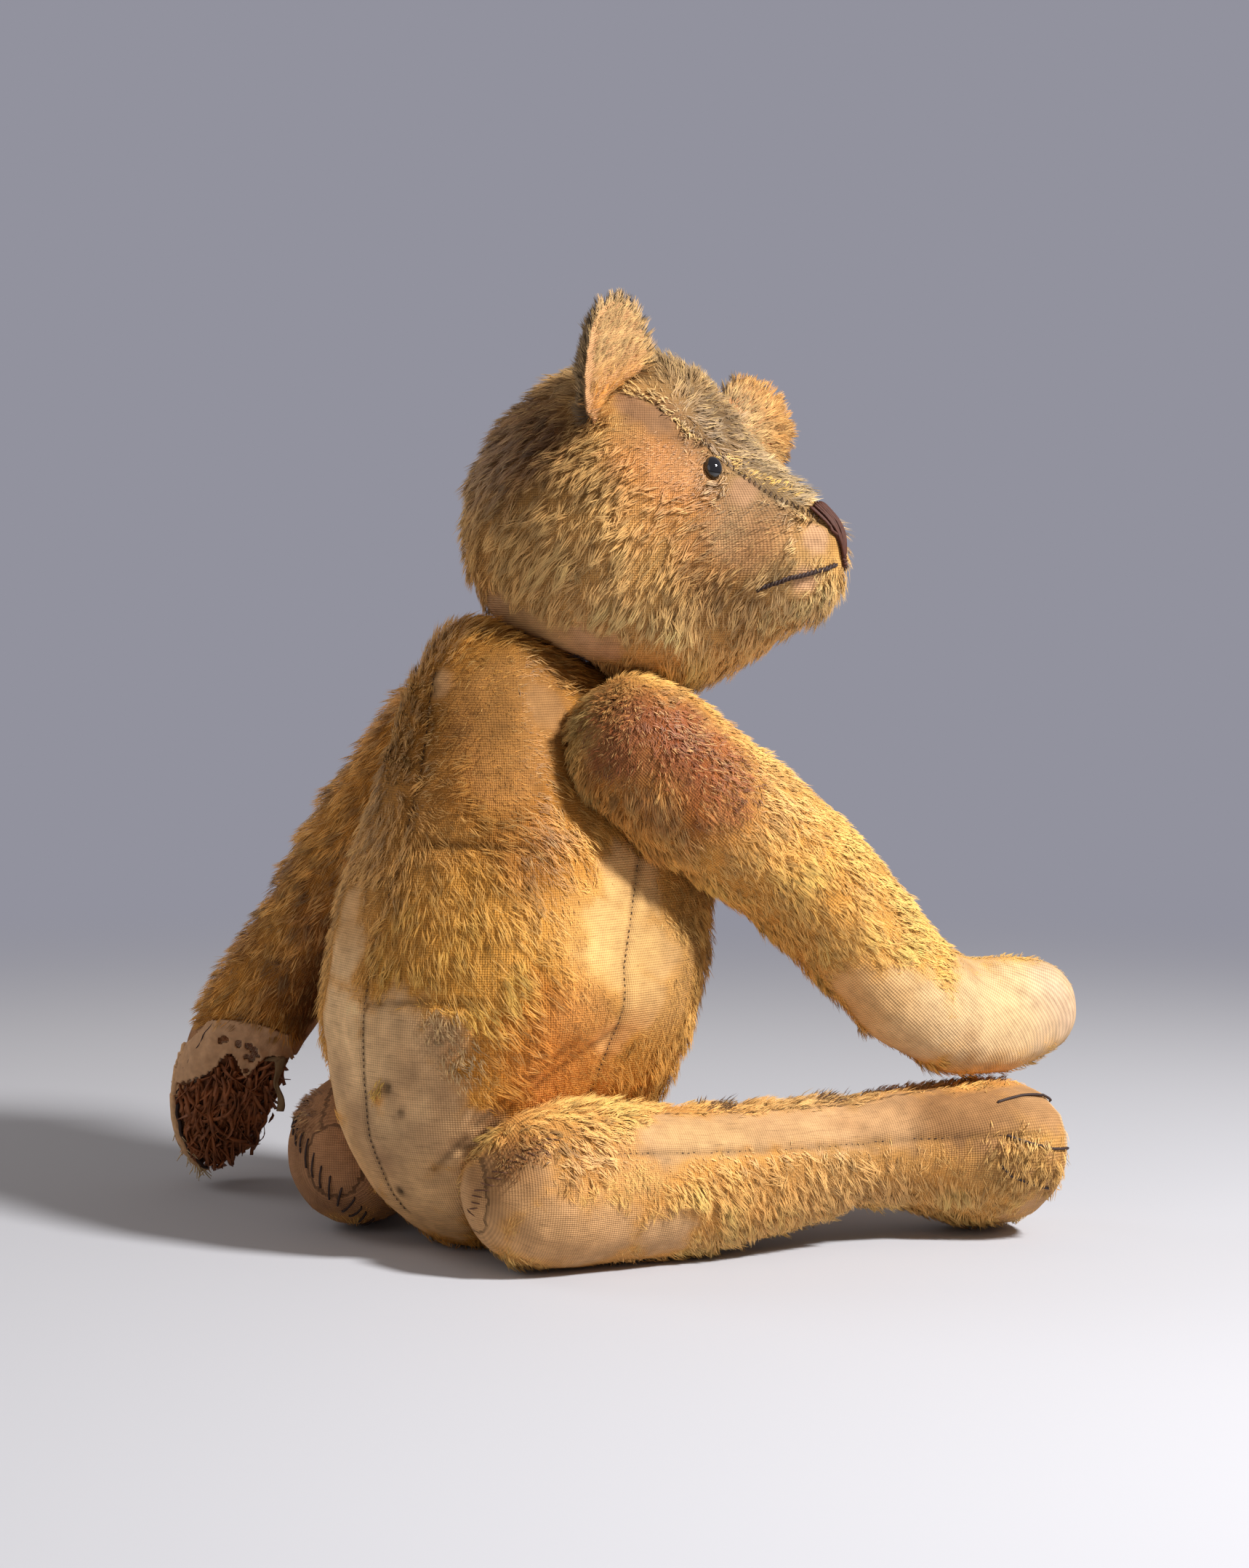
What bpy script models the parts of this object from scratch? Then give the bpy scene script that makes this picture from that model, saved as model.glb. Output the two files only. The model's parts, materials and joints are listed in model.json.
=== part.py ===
"""A seated, disc-jointed teddy bear: plush bags of wood wool held together by cotter pins.

The bear faces -Y with its left side at +X, and sits on z = 0. Lengths below are in millimetres and
are turned into metres where the meshes are made.
"""
import math

import bmesh
import bpy
from mathutils import Matrix, Vector
from mathutils.bvhtree import BVHTree

MM = 0.001
SIDES = 16            # points round a plush bag
CLOTH = 1.6           # plush backing and pile, or felt
GAP = 0.3             # between touching pieces
PACKING_GAP = 0.5     # between the plush and the wood wool
CLEAR = 0.8           # between the two bags at a joint
SLIVER = 1.5          # points nearer than this are merged where a bag is pressed flat

DISC_THICK = 3.0
DISC_SIDES = 16
WASHER_RADIUS = 6.5
WASHER_THICK = 0.8
WASHER_SIDES = 10
HOLE_RADIUS = 2.3     # pin hole in cloth, disc and washer
WIRE_RADIUS = 0.8     # cotter pin wire
THREAD_RADIUS = 0.8
CURL_RADIUS = 3.2     # the pin's rolled-over tails
EYE_LOOP_RADIUS = 2.9

# joint: where the two bags meet, the axis from the body into the limb, disc radius
JOINTS = {
    "neck": ((-3, -56, 239.5), (-0.22, -0.30, 0.928), 19),
    "right_shoulder": ((-43, -42, 206), (-0.951, 0.0, 0.309), 17),
    "left_shoulder": ((43, -42, 206), (0.927, 0.0, 0.375), 16),
    "right_hip": ((-41, 3, 44), (-0.875, 0.0, -0.485), 19),
    "left_hip": ((41, 5, 44), (0.845, 0.235, -0.48), 15),
}

# body rings from seat to neck: y, z, forward tilt in degrees, half width, half depth
BODY_RINGS = [
    (-18, 0, 0, 22, 24), (-16, 6, 0, 33, 34), (-13, 22, 0, 49, 50), (-15, 50, 0, 65, 66),
    (-22, 92, 3, 76, 78), (-31, 128, 6, 76, 79), (-39, 160, 9, 70, 75), (-46, 190, 12, 62, 71),
    (-50, 214, 16, 54, 68), (-54, 232, 19, 46, 60), (-56, 246, 22, 35, 46),
]

# head rings from nape to nose: distance ahead of the neck, half width, lowest and highest point
HEAD_YAW = 65         # degrees to the bear's right
HEAD_BASE = (0, -57, 246)
HEAD_RINGS = [
    (-39, 14, 30, 60), (-34, 29, 15, 75), (-21, 45, -2, 94), (-2, 57, -14, 108), (18, 62, -21, 116),
    (38, 60, -21, 118), (54, 53, -18, 111), (68, 41, -12, 95), (81, 32, -5, 78), (95, 27, 5, 67),
    (107, 22, 11, 58), (115, 13, 18, 51), (119, 6, 27, 45),
]
EYE = (71, 24, 68)    # ahead, to the side, up
EYE_RADIUS = 5.2
EYE_DOME = 3.9
EYE_STEM_RADIUS = 1.2
EYE_STEM = 6
EYE_LIFT = 1.7
NOSE = (119, 46)      # ahead and up
NOSE_BLOCK = (26, 19, 17)
NOSE_TAPER = 0.7
NOSE_THICK = 1.4
MOUTH = [(96, 31, 20), (101, 29, 22), (107, 23, 26), (112, 14, 29), (115, 5, 31)]
LIP = (36, 35, 34)
THREAD_LIFT = 1.25    # from the cloth to the middle of a thread
# one ear stands up, the other has flopped forwards; directions are ahead, to the left, up
EARS = {
    "right": dict(centre=(38.4, -47.8, 111.3), out=(0.17, -0.22, 0.96), wide=(-0.15, -0.95, -0.20),
                  half_width=24, half_height=25.6, cup=-8),
    "left": dict(centre=(65.5, 45, 90), out=(0.067, 0.967, 0.239), wide=(0.375, 0.29, -0.88),
                 half_width=21, half_height=24, cup=-5),
}
EAR_THICK = 5.2

# arm centre lines in the plane of the shoulder disc: forward, down, outward, then half height,
# half thickness outward and half thickness towards the body
RIGHT_ARM_ROOT = (-61, -42, 205)
RIGHT_ARM = [
    (0, 0, 0, 30, 25, 30), (20, 18, 1, 31, 26, 30), (41, 35, 3, 31, 26, 27), (68, 57, 5, 29, 25, 25),
    (91, 88, 8, 28, 23, 23), (108, 111, 10, 27, 21, 21), (130, 125, 12, 26, 20, 20),
    (152, 127, 14, 25.5, 20, 19), (174, 126, 15, 22, 18, 17),
]
LEFT_ARM_ROOT = (61, -42, 206)
LEFT_ARM = [
    (0, 0, 0, 31, 25, 30), (-6, 27, 7, 31, 26, 29), (-13, 58, 15, 30, 26, 27), (-19, 92, 23, 29, 24, 25),
    (-25, 121, 31, 27, 23, 23), (-31, 146, 38, 26, 23, 23), (-36, 169, 42, 26, 22, 22),
    (-37, 190, 44, 26, 21, 21), (-36, 209, 44, 24, 19, 18),
]
TIP_ROUNDING = (25, 50, 75)      # degrees at which a bag's end rings lie
PAW_PAD = (33, 19)               # half length and half width
PAW_TEAR = (26, 14)
PAW_PAD_TURN = {"right": 0, "left": 28}      # degrees from facing the body to facing backwards

# leg rings from thigh to sole: distance from hip, centre height, then half sizes up, down,
# towards the toe and towards the heel
LEG_RINGS = [
    (0, 33.4, 33, 34, 32, 30), (26, 33, 32, 33, 31, 29), (50, 32, 29.5, 32, 30, 27),
    (84, 32, 27.5, 28, 28, 24), (112, 34, 26, 25, 26, 22), (136, 37, 22, 22, 24, 21),
    (154, 37, 24, 23, 27, 22), (172, 34, 27, 27, 36, 24), (190, 31.2, 30, 31, 46, 26),
    (206, 30.6, 31, 31, 50, 27), (216, 31.2, 29.5, 28, 47, 24),
]
THIGH_ROUND = 37
LEGS = {
    "right": dict(root=(-58, 5), splay=16, side=-1),
    "left": dict(root=(60, 6), splay=34, side=1),
}
TOE_LIFT = 15                    # degrees that the toes rise above sideways
CLAWS = (-15, 0, 15)             # heights above the middle of the toes
CLAW_LENGTH = 26
SOLE_INSET = 1.8


def clear_scene():
    for obj in list(bpy.data.objects):
        bpy.data.objects.remove(obj, do_unlink=True)


def material(name, color, roughness, metallic=0.0):
    mat = bpy.data.materials.new(name)
    mat.use_nodes = True
    shader = mat.node_tree.nodes["Principled BSDF"]
    shader.inputs["Base Color"].default_value = (*color, 1)
    shader.inputs["Roughness"].default_value = roughness
    shader.inputs["Metallic"].default_value = metallic
    mat.diffuse_color = (*color, 1)
    return mat


FINISHES = {
    "plush": ((0.52, 0.32, 0.13), 0.95, 0.0),
    "felt": ((0.55, 0.42, 0.30), 0.95, 0.0),
    "wood_wool": ((0.13, 0.05, 0.02), 0.9, 0.0),
    "hardboard": ((0.23, 0.14, 0.08), 0.8, 0.0),
    "steel": ((0.42, 0.40, 0.38), 0.45, 1.0),
    "thread": ((0.05, 0.02, 0.015), 0.7, 0.0),
    "glass": ((0.004, 0.004, 0.004), 0.05, 0.0),
}


def add_object(name, bm, finish, parent=None):
    mesh = bpy.data.meshes.new(name)
    bm.to_mesh(mesh)
    bm.free()
    obj = bpy.data.objects.new(name, mesh)
    bpy.context.scene.collection.objects.link(obj)
    if finish:
        mesh.materials.append(material(name, *FINISHES[finish]))
        mesh.shade_smooth()
        mesh.set_sharp_from_angle(angle=math.radians(40))
    if parent:
        hang(obj, parent)
    return obj


def hang(obj, parent):
    obj.parent = parent
    obj.matrix_parent_inverse = parent.matrix_world.inverted()


def add_cutter(name, bm):
    obj = add_object(name, bm, None)
    obj.hide_render = True
    obj.display_type = "WIRE"
    return obj


def apply_cutter(obj, cutter, operation="DIFFERENCE"):
    mod = obj.modifiers.new(cutter.name, "BOOLEAN")
    mod.operation = operation
    mod.solver = "EXACT"
    mod.object = cutter


# ---- bags: rings of points joined along a centre line -------------------------------------------

def ring(centre, across, up, sizes):
    """One cross-section: half sizes are to +across, -across, +up and -up."""
    plus_a, minus_a, plus_u, minus_u = sizes
    points = []
    for i in range(SIDES):
        angle = 2 * math.pi * i / SIDES
        c, s = math.cos(angle), math.sin(angle)
        points.append(centre + across * c * (plus_a if c > 0 else minus_a)
                      + up * s * (plus_u if s > 0 else minus_u))
    return points


def bag(rings):
    bm = bmesh.new()
    loops = []
    for points in rings:
        verts = [bm.verts.new(p * MM) for p in points]
        loops.append([bm.edges.new((verts[i - 1], verts[i])) for i in range(SIDES)])
    for one, two in zip(loops, loops[1:]):
        bmesh.ops.bridge_loops(bm, edges=one + two)
    bmesh.ops.holes_fill(bm, edges=loops[0] + loops[-1], sides=0)
    bmesh.ops.recalc_face_normals(bm, faces=bm.faces)
    return bm


def press_flat(bm, point, normal):
    """Remove what lies beyond a plane and close the flat that it leaves."""
    geom = bm.verts[:] + bm.edges[:] + bm.faces[:]
    bmesh.ops.bisect_plane(bm, geom=geom, plane_co=point * MM, plane_no=normal, clear_outer=True)
    bmesh.ops.remove_doubles(bm, verts=bm.verts, dist=SLIVER * MM)
    bmesh.ops.holes_fill(bm, edges=[e for e in bm.edges if e.is_boundary], sides=0)
    bmesh.ops.recalc_face_normals(bm, faces=bm.faces)


def inside_of(bm, depth):
    """A copy whose surface lies that many millimetres further in."""
    inner = bm.copy()
    inner.normal_update()
    moved = [v.co - v.normal * v.calc_shell_factor() * depth * MM for v in inner.verts]
    for vert, place in zip(inner.verts, moved):
        vert.co = place
    return inner


def wall(outer, inner):
    """One closed mesh from an outer skin and the skin of the hollow in it."""
    both = outer.copy()
    skin = bpy.data.meshes.new("skin")
    lining = inner.copy()
    bmesh.ops.reverse_faces(lining, faces=lining.faces)
    lining.to_mesh(skin)
    lining.free()
    both.from_mesh(skin)
    bpy.data.meshes.remove(skin)
    return both


def cover_and_stuffing(name, form, parent=None):
    cover = add_object(name + "_cover", wall(form, inside_of(form, CLOTH)), "plush", parent)
    stuffing = add_object(name + "_stuffing", inside_of(form, CLOTH + PACKING_GAP), "wood_wool", parent)
    return cover, stuffing


# ---- turned pieces at the joints ----------------------------------------------------------------

def turned(profile, sides):
    """Spin an outline of (radius, height) points about Z; one that starts on the axis stays open there."""
    bm = bmesh.new()
    verts = [bm.verts.new((r * MM, 0, z * MM)) for r, z in profile]
    first = 1 if profile[0][0] == 0 else 0
    edges = [bm.edges.new((verts[i - 1], verts[i])) for i in range(first, len(verts))]
    bmesh.ops.spin(bm, geom=verts + edges, cent=(0, 0, 0), axis=(0, 0, 1), angle=2 * math.pi,
                   steps=sides, use_merge=True)
    bmesh.ops.remove_doubles(bm, verts=bm.verts, dist=1e-6)
    bmesh.ops.dissolve_degenerate(bm, edges=bm.edges, dist=1e-7)
    bmesh.ops.recalc_face_normals(bm, faces=bm.faces)
    return bm


def flat_ring(radius, hole, low, high, sides):
    return turned([(hole, low), (radius, low), (radius, high), (hole, high)], sides)


def stepped_plug(steps, sides):
    """A solid of revolution whose outline is (radius, height) steps closed on the axis."""
    profile = [(0, steps[0][1])] + steps + [(0, steps[-1][1])]
    return turned(profile, sides)


def place(bm, frame):
    bmesh.ops.transform(bm, matrix=frame, verts=bm.verts)
    return bm


def tube(name, points, radius, finish, parent):
    curve = bpy.data.curves.new(name, "CURVE")
    curve.dimensions = "3D"
    curve.bevel_depth = radius * MM
    curve.bevel_resolution = 1
    curve.use_fill_caps = True
    spline = curve.splines.new("POLY")
    spline.points.add(len(points) - 1)
    for target, point in zip(spline.points, points):
        target.co = (*point, 1)
    curve.materials.append(material(name, *FINISHES[finish]))
    obj = bpy.data.objects.new(name, curve)
    bpy.context.scene.collection.objects.link(obj)
    hang(obj, parent)
    return obj


def pin_line(stack):
    """The wire of a cotter pin: rolled tails in the body, two legs, and the eye in the limb."""
    leg = WIRE_RADIUS + GAP / 2
    root = -stack - WIRE_RADIUS - GAP
    tail = [(leg + CURL_RADIUS + CURL_RADIUS * math.cos(math.radians(a)),
             root + CURL_RADIUS * math.sin(math.radians(a))) for a in (335, 305, 270, 235, 205)]
    tail.append((leg, root))
    eye_low = stack + WIRE_RADIUS + GAP
    half = math.asin(leg / EYE_LOOP_RADIUS)
    centre = eye_low + EYE_LOOP_RADIUS
    start = -math.pi / 2 + half
    turns = [start + (2 * math.pi - 2 * half) * i / 8 for i in range(9)]
    eye = [(EYE_LOOP_RADIUS * math.cos(a), centre + EYE_LOOP_RADIUS * math.sin(a)) for a in turns]
    line = tail + eye + [(-x, z) for x, z in reversed(tail)]
    return [Vector((x * MM, 0, z * MM)) for x, z in line]


def make_joint(name, parent):
    """Discs, washers and pin of one joint; returns the cutters for the two bags and the fillings."""
    point, axis, radius = JOINTS[name]
    axis = Vector(axis).normalized()
    frame = Matrix.Translation(Vector(point) * MM) @ axis.to_track_quat("Z", "Y").to_matrix().to_4x4()
    skin = CLEAR / 2 + CLOTH + GAP
    disc_top = skin + DISC_THICK
    washer_top = disc_top + GAP + WASHER_THICK
    for side, holder, sign in (("limb", parent, 1), ("body", None, -1)):
        low, high = sorted((sign * skin, sign * disc_top))
        disc = flat_ring(radius, HOLE_RADIUS, low, high, DISC_SIDES)
        add_object(f"{name}_{side}_disc", place(disc, frame), "hardboard", holder)
        low, high = sorted((sign * (disc_top + GAP), sign * washer_top))
        washer = flat_ring(WASHER_RADIUS, HOLE_RADIUS, low, high, WASHER_SIDES)
        add_object(f"{name}_{side}_washer", place(washer, frame), "steel", holder)
    line = [frame @ p for p in pin_line(washer_top)]
    tube(f"{name}_pin", line, WIRE_RADIUS, "steel", parent)

    hole = stepped_plug([(HOLE_RADIUS, -skin - 1), (HOLE_RADIUS, skin + 1)], WASHER_SIDES)
    cutters = {"hole": add_cutter(f"{name}_hole_cutter", place(hole, frame))}
    pin_end = washer_top + 2 * (EYE_LOOP_RADIUS + WIRE_RADIUS) + 1.5
    curl_reach = 2 * CURL_RADIUS + 3 * WIRE_RADIUS + 1.5
    for side, sign in (("limb", 1), ("body", -1)):
        steps = [(radius + GAP, -0.5 * sign), (radius + GAP, sign * (disc_top + GAP)),
                 (curl_reach, sign * (disc_top + GAP)), (curl_reach, sign * pin_end)]
        pocket = stepped_plug(steps, DISC_SIDES)
        cutters[side] = add_cutter(f"{name}_{side}_pocket", place(pocket, frame))
    return cutters


def joint_plane(name, side):
    """The flat where a bag meets its neighbour, for the body (-1) or the limb (+1)."""
    point, axis, _ = JOINTS[name]
    axis = Vector(axis).normalized()
    return Vector(point) + axis * side * CLEAR / 2, axis * -side


def joint_empty(name):
    point, axis, _ = JOINTS[name]
    empty = bpy.data.objects.new(name + "_axis", None)
    bpy.context.scene.collection.objects.link(empty)
    empty.location = Vector(point) * MM
    empty.rotation_mode = "QUATERNION"
    empty.rotation_quaternion = Vector(axis).to_track_quat("Z", "Y")
    bpy.context.view_layer.update()
    return empty


# ---- body ---------------------------------------------------------------------------------------

def body_form():
    rings = []
    for y, z, tilt, width, depth in BODY_RINGS:
        back = Vector((0, math.cos(math.radians(tilt)), math.sin(math.radians(tilt))))
        rings.append(ring(Vector((0, y, z)), Vector((1, 0, 0)), back, (width, width, depth, depth)))
    form = bag(rings)
    for name in JOINTS:
        press_flat(form, *joint_plane(name, -1))
    return form


def make_body(cutters):
    cover, stuffing = cover_and_stuffing("body", body_form())
    for name in JOINTS:
        apply_cutter(cover, cutters[name]["hole"])
        apply_cutter(stuffing, cutters[name]["body"])


# ---- head ---------------------------------------------------------------------------------------

def head_frame():
    yaw = math.radians(HEAD_YAW)
    ahead = Vector((-math.sin(yaw), -math.cos(yaw), 0))
    left = Vector((0, 0, 1)).cross(ahead)
    return ahead, left, Vector((0, 0, 1))


def head_point(forward, sideways, height):
    ahead, left, up = head_frame()
    return Vector(HEAD_BASE) + ahead * forward + left * sideways + up * height


def head_form():
    _, left, up = head_frame()
    rings = []
    for forward, width, low, high in HEAD_RINGS:
        middle = low + (high - low) * 0.48
        sizes = (width, width, high - middle, middle - low)
        rings.append(ring(head_point(forward, 0, middle), left, up, sizes))
    form = bag(rings)
    press_flat(form, *joint_plane("neck", 1))
    return form


def head_direction(forward, sideways, height):
    ahead, left, up = head_frame()
    return (ahead * forward + left * sideways + up * height).normalized()


def on_surface(tree, point, lift):
    spot, normal, _, _ = tree.find_nearest(point * MM)
    return spot + normal * lift * MM, normal


def eye_mesh(spot, normal):
    dome = [(EYE_RADIUS * math.sin(math.radians(a)), EYE_DOME * math.cos(math.radians(a)))
            for a in (20, 42, 66, 90)]
    profile = [(0, EYE_DOME)] + dome + [(EYE_RADIUS * 0.8, -1.2), (EYE_STEM_RADIUS, -1.4),
                                        (EYE_STEM_RADIUS, -EYE_STEM), (0, -EYE_STEM)]
    frame = Matrix.Translation(spot) @ normal.to_track_quat("Z", "Y").to_matrix().to_4x4()
    hole = stepped_plug([(EYE_STEM_RADIUS + GAP, -EYE_STEM - 1), (EYE_STEM_RADIUS + GAP, 1)], 10)
    return place(turned(profile, 14), frame), place(hole, frame)


def ear_form(centre, out, width_dir, half_width, half_height, cup):
    """A cupped oval of two layers, standing along out, wide along width_dir."""
    face = width_dir.cross(out).normalized()
    bm = bmesh.new()
    bmesh.ops.create_uvsphere(bm, u_segments=16, v_segments=8, radius=1)
    for vert in bm.verts:
        x, y, z = vert.co
        depth = y * EAR_THICK / 2 + cup * (x * x + 0.4 * z * z - 0.5)
        vert.co = (centre + width_dir * x * half_width + out * z * half_height + face * depth) * MM
    bmesh.ops.recalc_face_normals(bm, faces=bm.faces)
    return bm


def make_head(cutters, parent):
    form = head_form()
    tree = BVHTree.FromBMesh(form)
    seat_cutter = add_cutter("head_seat_cutter", inside_of(form, -GAP))
    for side, sign in (("left", 1), ("right", -1)):
        spot, normal = on_surface(tree, head_point(EYE[0], sign * EYE[1], EYE[2]), EYE_LIFT)
        eye, hole = eye_mesh(spot, normal)
        add_object(f"{side}_eye", eye, "glass", parent)
        cutters[f"{side}_eye"] = add_cutter(f"{side}_eye_cutter", hole)

    for side, ear in EARS.items():
        out = head_direction(*ear["out"])
        wide = head_direction(*ear["wide"])
        wide = (wide - out * wide.dot(out)).normalized()
        sizes = ear["half_width"], ear["half_height"], ear["cup"]
        oval = ear_form(head_point(*ear["centre"]), out, wide, *sizes)
        obj = add_object(f"{side}_ear", oval, "plush", parent)
        apply_cutter(obj, seat_cutter)

    nose = wall(inside_of(form, -GAP - NOSE_THICK), inside_of(form, -GAP))
    obj = add_object("nose_stitching", nose, "thread", parent)
    block = bmesh.new()
    bmesh.ops.create_cube(block, size=1)
    for vert in block.verts:
        x, y, z = vert.co
        taper = 1 + NOSE_TAPER * z
        forward, aside, height = (a * size for a, size in zip((x, y * taper, z), NOSE_BLOCK))
        vert.co = head_point(NOSE[0] + forward, aside, NOSE[1] + height) * MM
    bmesh.ops.recalc_face_normals(block, faces=block.faces)
    apply_cutter(obj, add_cutter("nose_cutter", block), "INTERSECT")

    guide = MOUTH + [(ahead_, -aside, height) for ahead_, aside, height in reversed(MOUTH)]
    line = []
    for one, two in zip(guide, guide[1:]):
        line += [[a + (b - a) * t / 3 for a, b in zip(one, two)] for t in range(3)]
    lift = THREAD_LIFT + 0.15
    mouth = [on_surface(tree, head_point(*point), lift)[0] for point in line + [guide[-1]]]
    tube("mouth_stitching", mouth, THREAD_RADIUS, "thread", parent)
    lip = [on_surface(tree, head_point(NOSE[0], 0, height), THREAD_LIFT)[0] for height in LIP]
    tube("lip_stitch", lip, THREAD_RADIUS, "thread", parent)

    cover, stuffing = cover_and_stuffing("head", form, parent)
    for part in ("left_eye", "right_eye"):
        apply_cutter(cover, cutters[part])
        apply_cutter(stuffing, cutters[part])
    apply_cutter(cover, cutters["neck"]["hole"])
    apply_cutter(stuffing, cutters["neck"]["limb"])


# ---- arms ---------------------------------------------------------------------------------------

def arm_frame(joint):
    out = Vector(JOINTS[joint][1]).normalized()
    ahead = Vector((0, -1, 0))
    down = out.cross(ahead)
    if down.z > 0:
        down = -down
    return ahead, down, out


def arm_rings(joint, root, stations):
    ahead, down, out = arm_frame(joint)
    centres = [Vector(root) + ahead * s[0] + down * s[1] + out * s[2] for s in stations]
    rings = []
    for i, (centre, station) in enumerate(zip(centres, stations)):
        before = centres[max(i - 1, 0)]
        after = centres[min(i + 1, len(centres) - 1)]
        along = (after - before).normalized()
        across = along.cross(out).normalized()
        high, thick, inner = station[3:]
        rings.append((centre, along, across, (high, high, thick, inner)))
    return rings, out


def rounded(rings, out, reach_start, reach_end):
    """Add the domed ends of a bag to its rings."""
    centre, along, across, sizes = rings[0]
    start = [ring(centre - along * reach_start * math.sin(math.radians(a)), across, out,
                  [s * math.cos(math.radians(a)) for s in sizes]) for a in reversed(TIP_ROUNDING)]
    middle = [ring(c, a, out, s) for c, _, a, s in rings]
    centre, along, across, sizes = rings[-1]
    end = [ring(centre + along * reach_end * math.sin(math.radians(a)), across, out,
                [s * math.cos(math.radians(a)) for s in sizes]) for a in TIP_ROUNDING]
    return start + middle + end


def pad_cutter(name, rings, out, size, turn):
    """An oval prism through the inner side of the paw."""
    centre, along, across, _ = rings[-2]
    frame = Matrix((along, across, -out)).transposed().to_4x4()
    frame = frame @ Matrix.Rotation(math.radians(turn), 4, "X")
    frame.translation = centre * MM
    bm = bmesh.new()
    bmesh.ops.create_cone(bm, cap_ends=True, segments=18, radius1=1, radius2=1, depth=40 * MM)
    for vert in bm.verts:
        x, y, z = vert.co
        vert.co = (x * size[0] * MM, y * size[1] * MM, z + 22 * MM)
    bmesh.ops.transform(bm, matrix=frame, verts=bm.verts)
    bmesh.ops.recalc_face_normals(bm, faces=bm.faces)
    return add_cutter(name, bm)


def make_arm(side, root, stations, torn, cutters, parent):
    joint = side + "_shoulder"
    rings, out = arm_rings(joint, root, stations)
    form = bag(rounded(rings, out, stations[0][3], stations[-1][3]))
    press_flat(form, *joint_plane(joint, 1))
    pad = add_object(f"{side}_paw_pad", wall(form, inside_of(form, CLOTH)), "felt", parent)
    cover, stuffing = cover_and_stuffing(side + "_arm", form, parent)
    turn = PAW_PAD_TURN[side]
    opening = pad_cutter(f"{side}_pad_opening", rings, out, PAW_PAD, turn)
    patch = pad_cutter(f"{side}_pad_patch", rings, out, [s - GAP for s in PAW_PAD], turn)
    apply_cutter(cover, opening)
    apply_cutter(pad, patch, "INTERSECT")
    if torn:
        apply_cutter(pad, pad_cutter(f"{side}_pad_tear", rings, out, PAW_TEAR, turn))
    apply_cutter(cover, cutters[joint]["hole"])
    apply_cutter(stuffing, cutters[joint]["limb"])


# ---- legs ---------------------------------------------------------------------------------------

def leg_frame(side):
    leg = LEGS[side]
    splay = math.radians(leg["splay"])
    along = Vector((leg["side"] * math.sin(splay), -math.cos(splay), 0))
    sideways = Vector((leg["side"] * math.cos(splay), math.sin(splay), 0))
    lift = math.radians(TOE_LIFT)
    toe = sideways * math.cos(lift) + Vector((0, 0, 1)) * math.sin(lift)
    rise = -sideways * math.sin(lift) + Vector((0, 0, 1)) * math.cos(lift)
    return along, toe, rise


def leg_centre(side, distance, height):
    x, y = LEGS[side]["root"]
    return Vector((x, y, height)) + leg_frame(side)[0] * distance


def leg_form(side):
    _, toe, rise = leg_frame(side)
    first = LEG_RINGS[0]
    rings = []
    for angle in reversed(TIP_ROUNDING):
        size = math.cos(math.radians(angle))
        centre = leg_centre(side, -THIGH_ROUND * math.sin(math.radians(angle)), first[1])
        up, down, front, back = first[2:]
        rings.append(ring(centre, toe, rise, (front * size, back * size, up * size, down * size)))
    for distance, height, up, down, front, back in LEG_RINGS:
        rings.append(ring(leg_centre(side, distance, height), toe, rise, (front, back, up, down)))
    form = bag(rings)
    press_flat(form, *joint_plane(side + "_hip", 1))
    press_flat(form, Vector((0, 0, 0)), Vector((0, 0, -1)))
    return form


def sole_plate(side, inset, low, high):
    """A plate in the outline of the sole, between two distances from the hip."""
    _, toe, rise = leg_frame(side)
    _, height, up, down, front, back = LEG_RINGS[-1]
    sizes = [s - inset for s in (front, back, up, down)]
    return bag([ring(leg_centre(side, d, height), toe, rise, sizes) for d in (low, high)])


def claw(name, side, tree, offset, parent):
    along, toe, rise = leg_frame(side)
    points = []
    for i in range(6):
        distance = LEG_RINGS[-1][0] - 4 - CLAW_LENGTH * i / 5
        start = leg_centre(side, distance, LEG_RINGS[-2][1]) + toe * 90 + rise * (offset * (1 - 0.04 * i))
        hit, normal, _, _ = tree.ray_cast(start * MM, -toe)
        points.append(hit + normal * (THREAD_LIFT + 0.15) * MM)
    tube(name, points, THREAD_RADIUS, "thread", parent)


def make_leg(side, cutters, parent):
    joint = side + "_hip"
    form = leg_form(side)
    tree = BVHTree.FromBMesh(form)
    end = LEG_RINGS[-1][0]
    cover, stuffing = cover_and_stuffing(side + "_leg", form, parent)
    sole = sole_plate(side, SOLE_INSET, end - CLOTH, end)
    add_object(f"{side}_sole", sole, "felt", parent)
    opening = sole_plate(side, SOLE_INSET - GAP, end - CLOTH - GAP / 2, end + CLOTH)
    apply_cutter(cover, add_cutter(f"{side}_sole_opening", opening))
    for number, offset in enumerate(CLAWS, 1):
        claw(f"{side}_foot_claw_{number}", side, tree, offset, parent)
    apply_cutter(cover, cutters[joint]["hole"])
    apply_cutter(stuffing, cutters[joint]["limb"])


def main():
    clear_scene()
    empties = {name: joint_empty(name) for name in JOINTS}
    cutters = {name: make_joint(name, empties[name]) for name in JOINTS}
    make_body(cutters)
    make_head(cutters, empties["neck"])
    make_arm("right", RIGHT_ARM_ROOT, RIGHT_ARM, False, cutters, empties["right_shoulder"])
    make_arm("left", LEFT_ARM_ROOT, LEFT_ARM, True, cutters, empties["left_shoulder"])
    for side in LEGS:
        make_leg(side, cutters, empties[side + "_hip"])


main()
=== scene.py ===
import json
import math

import bmesh
import bpy
import numpy as np
from mathutils import Matrix, Vector, noise
from mathutils.bvhtree import BVHTree
from mathutils.kdtree import KDTree

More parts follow.
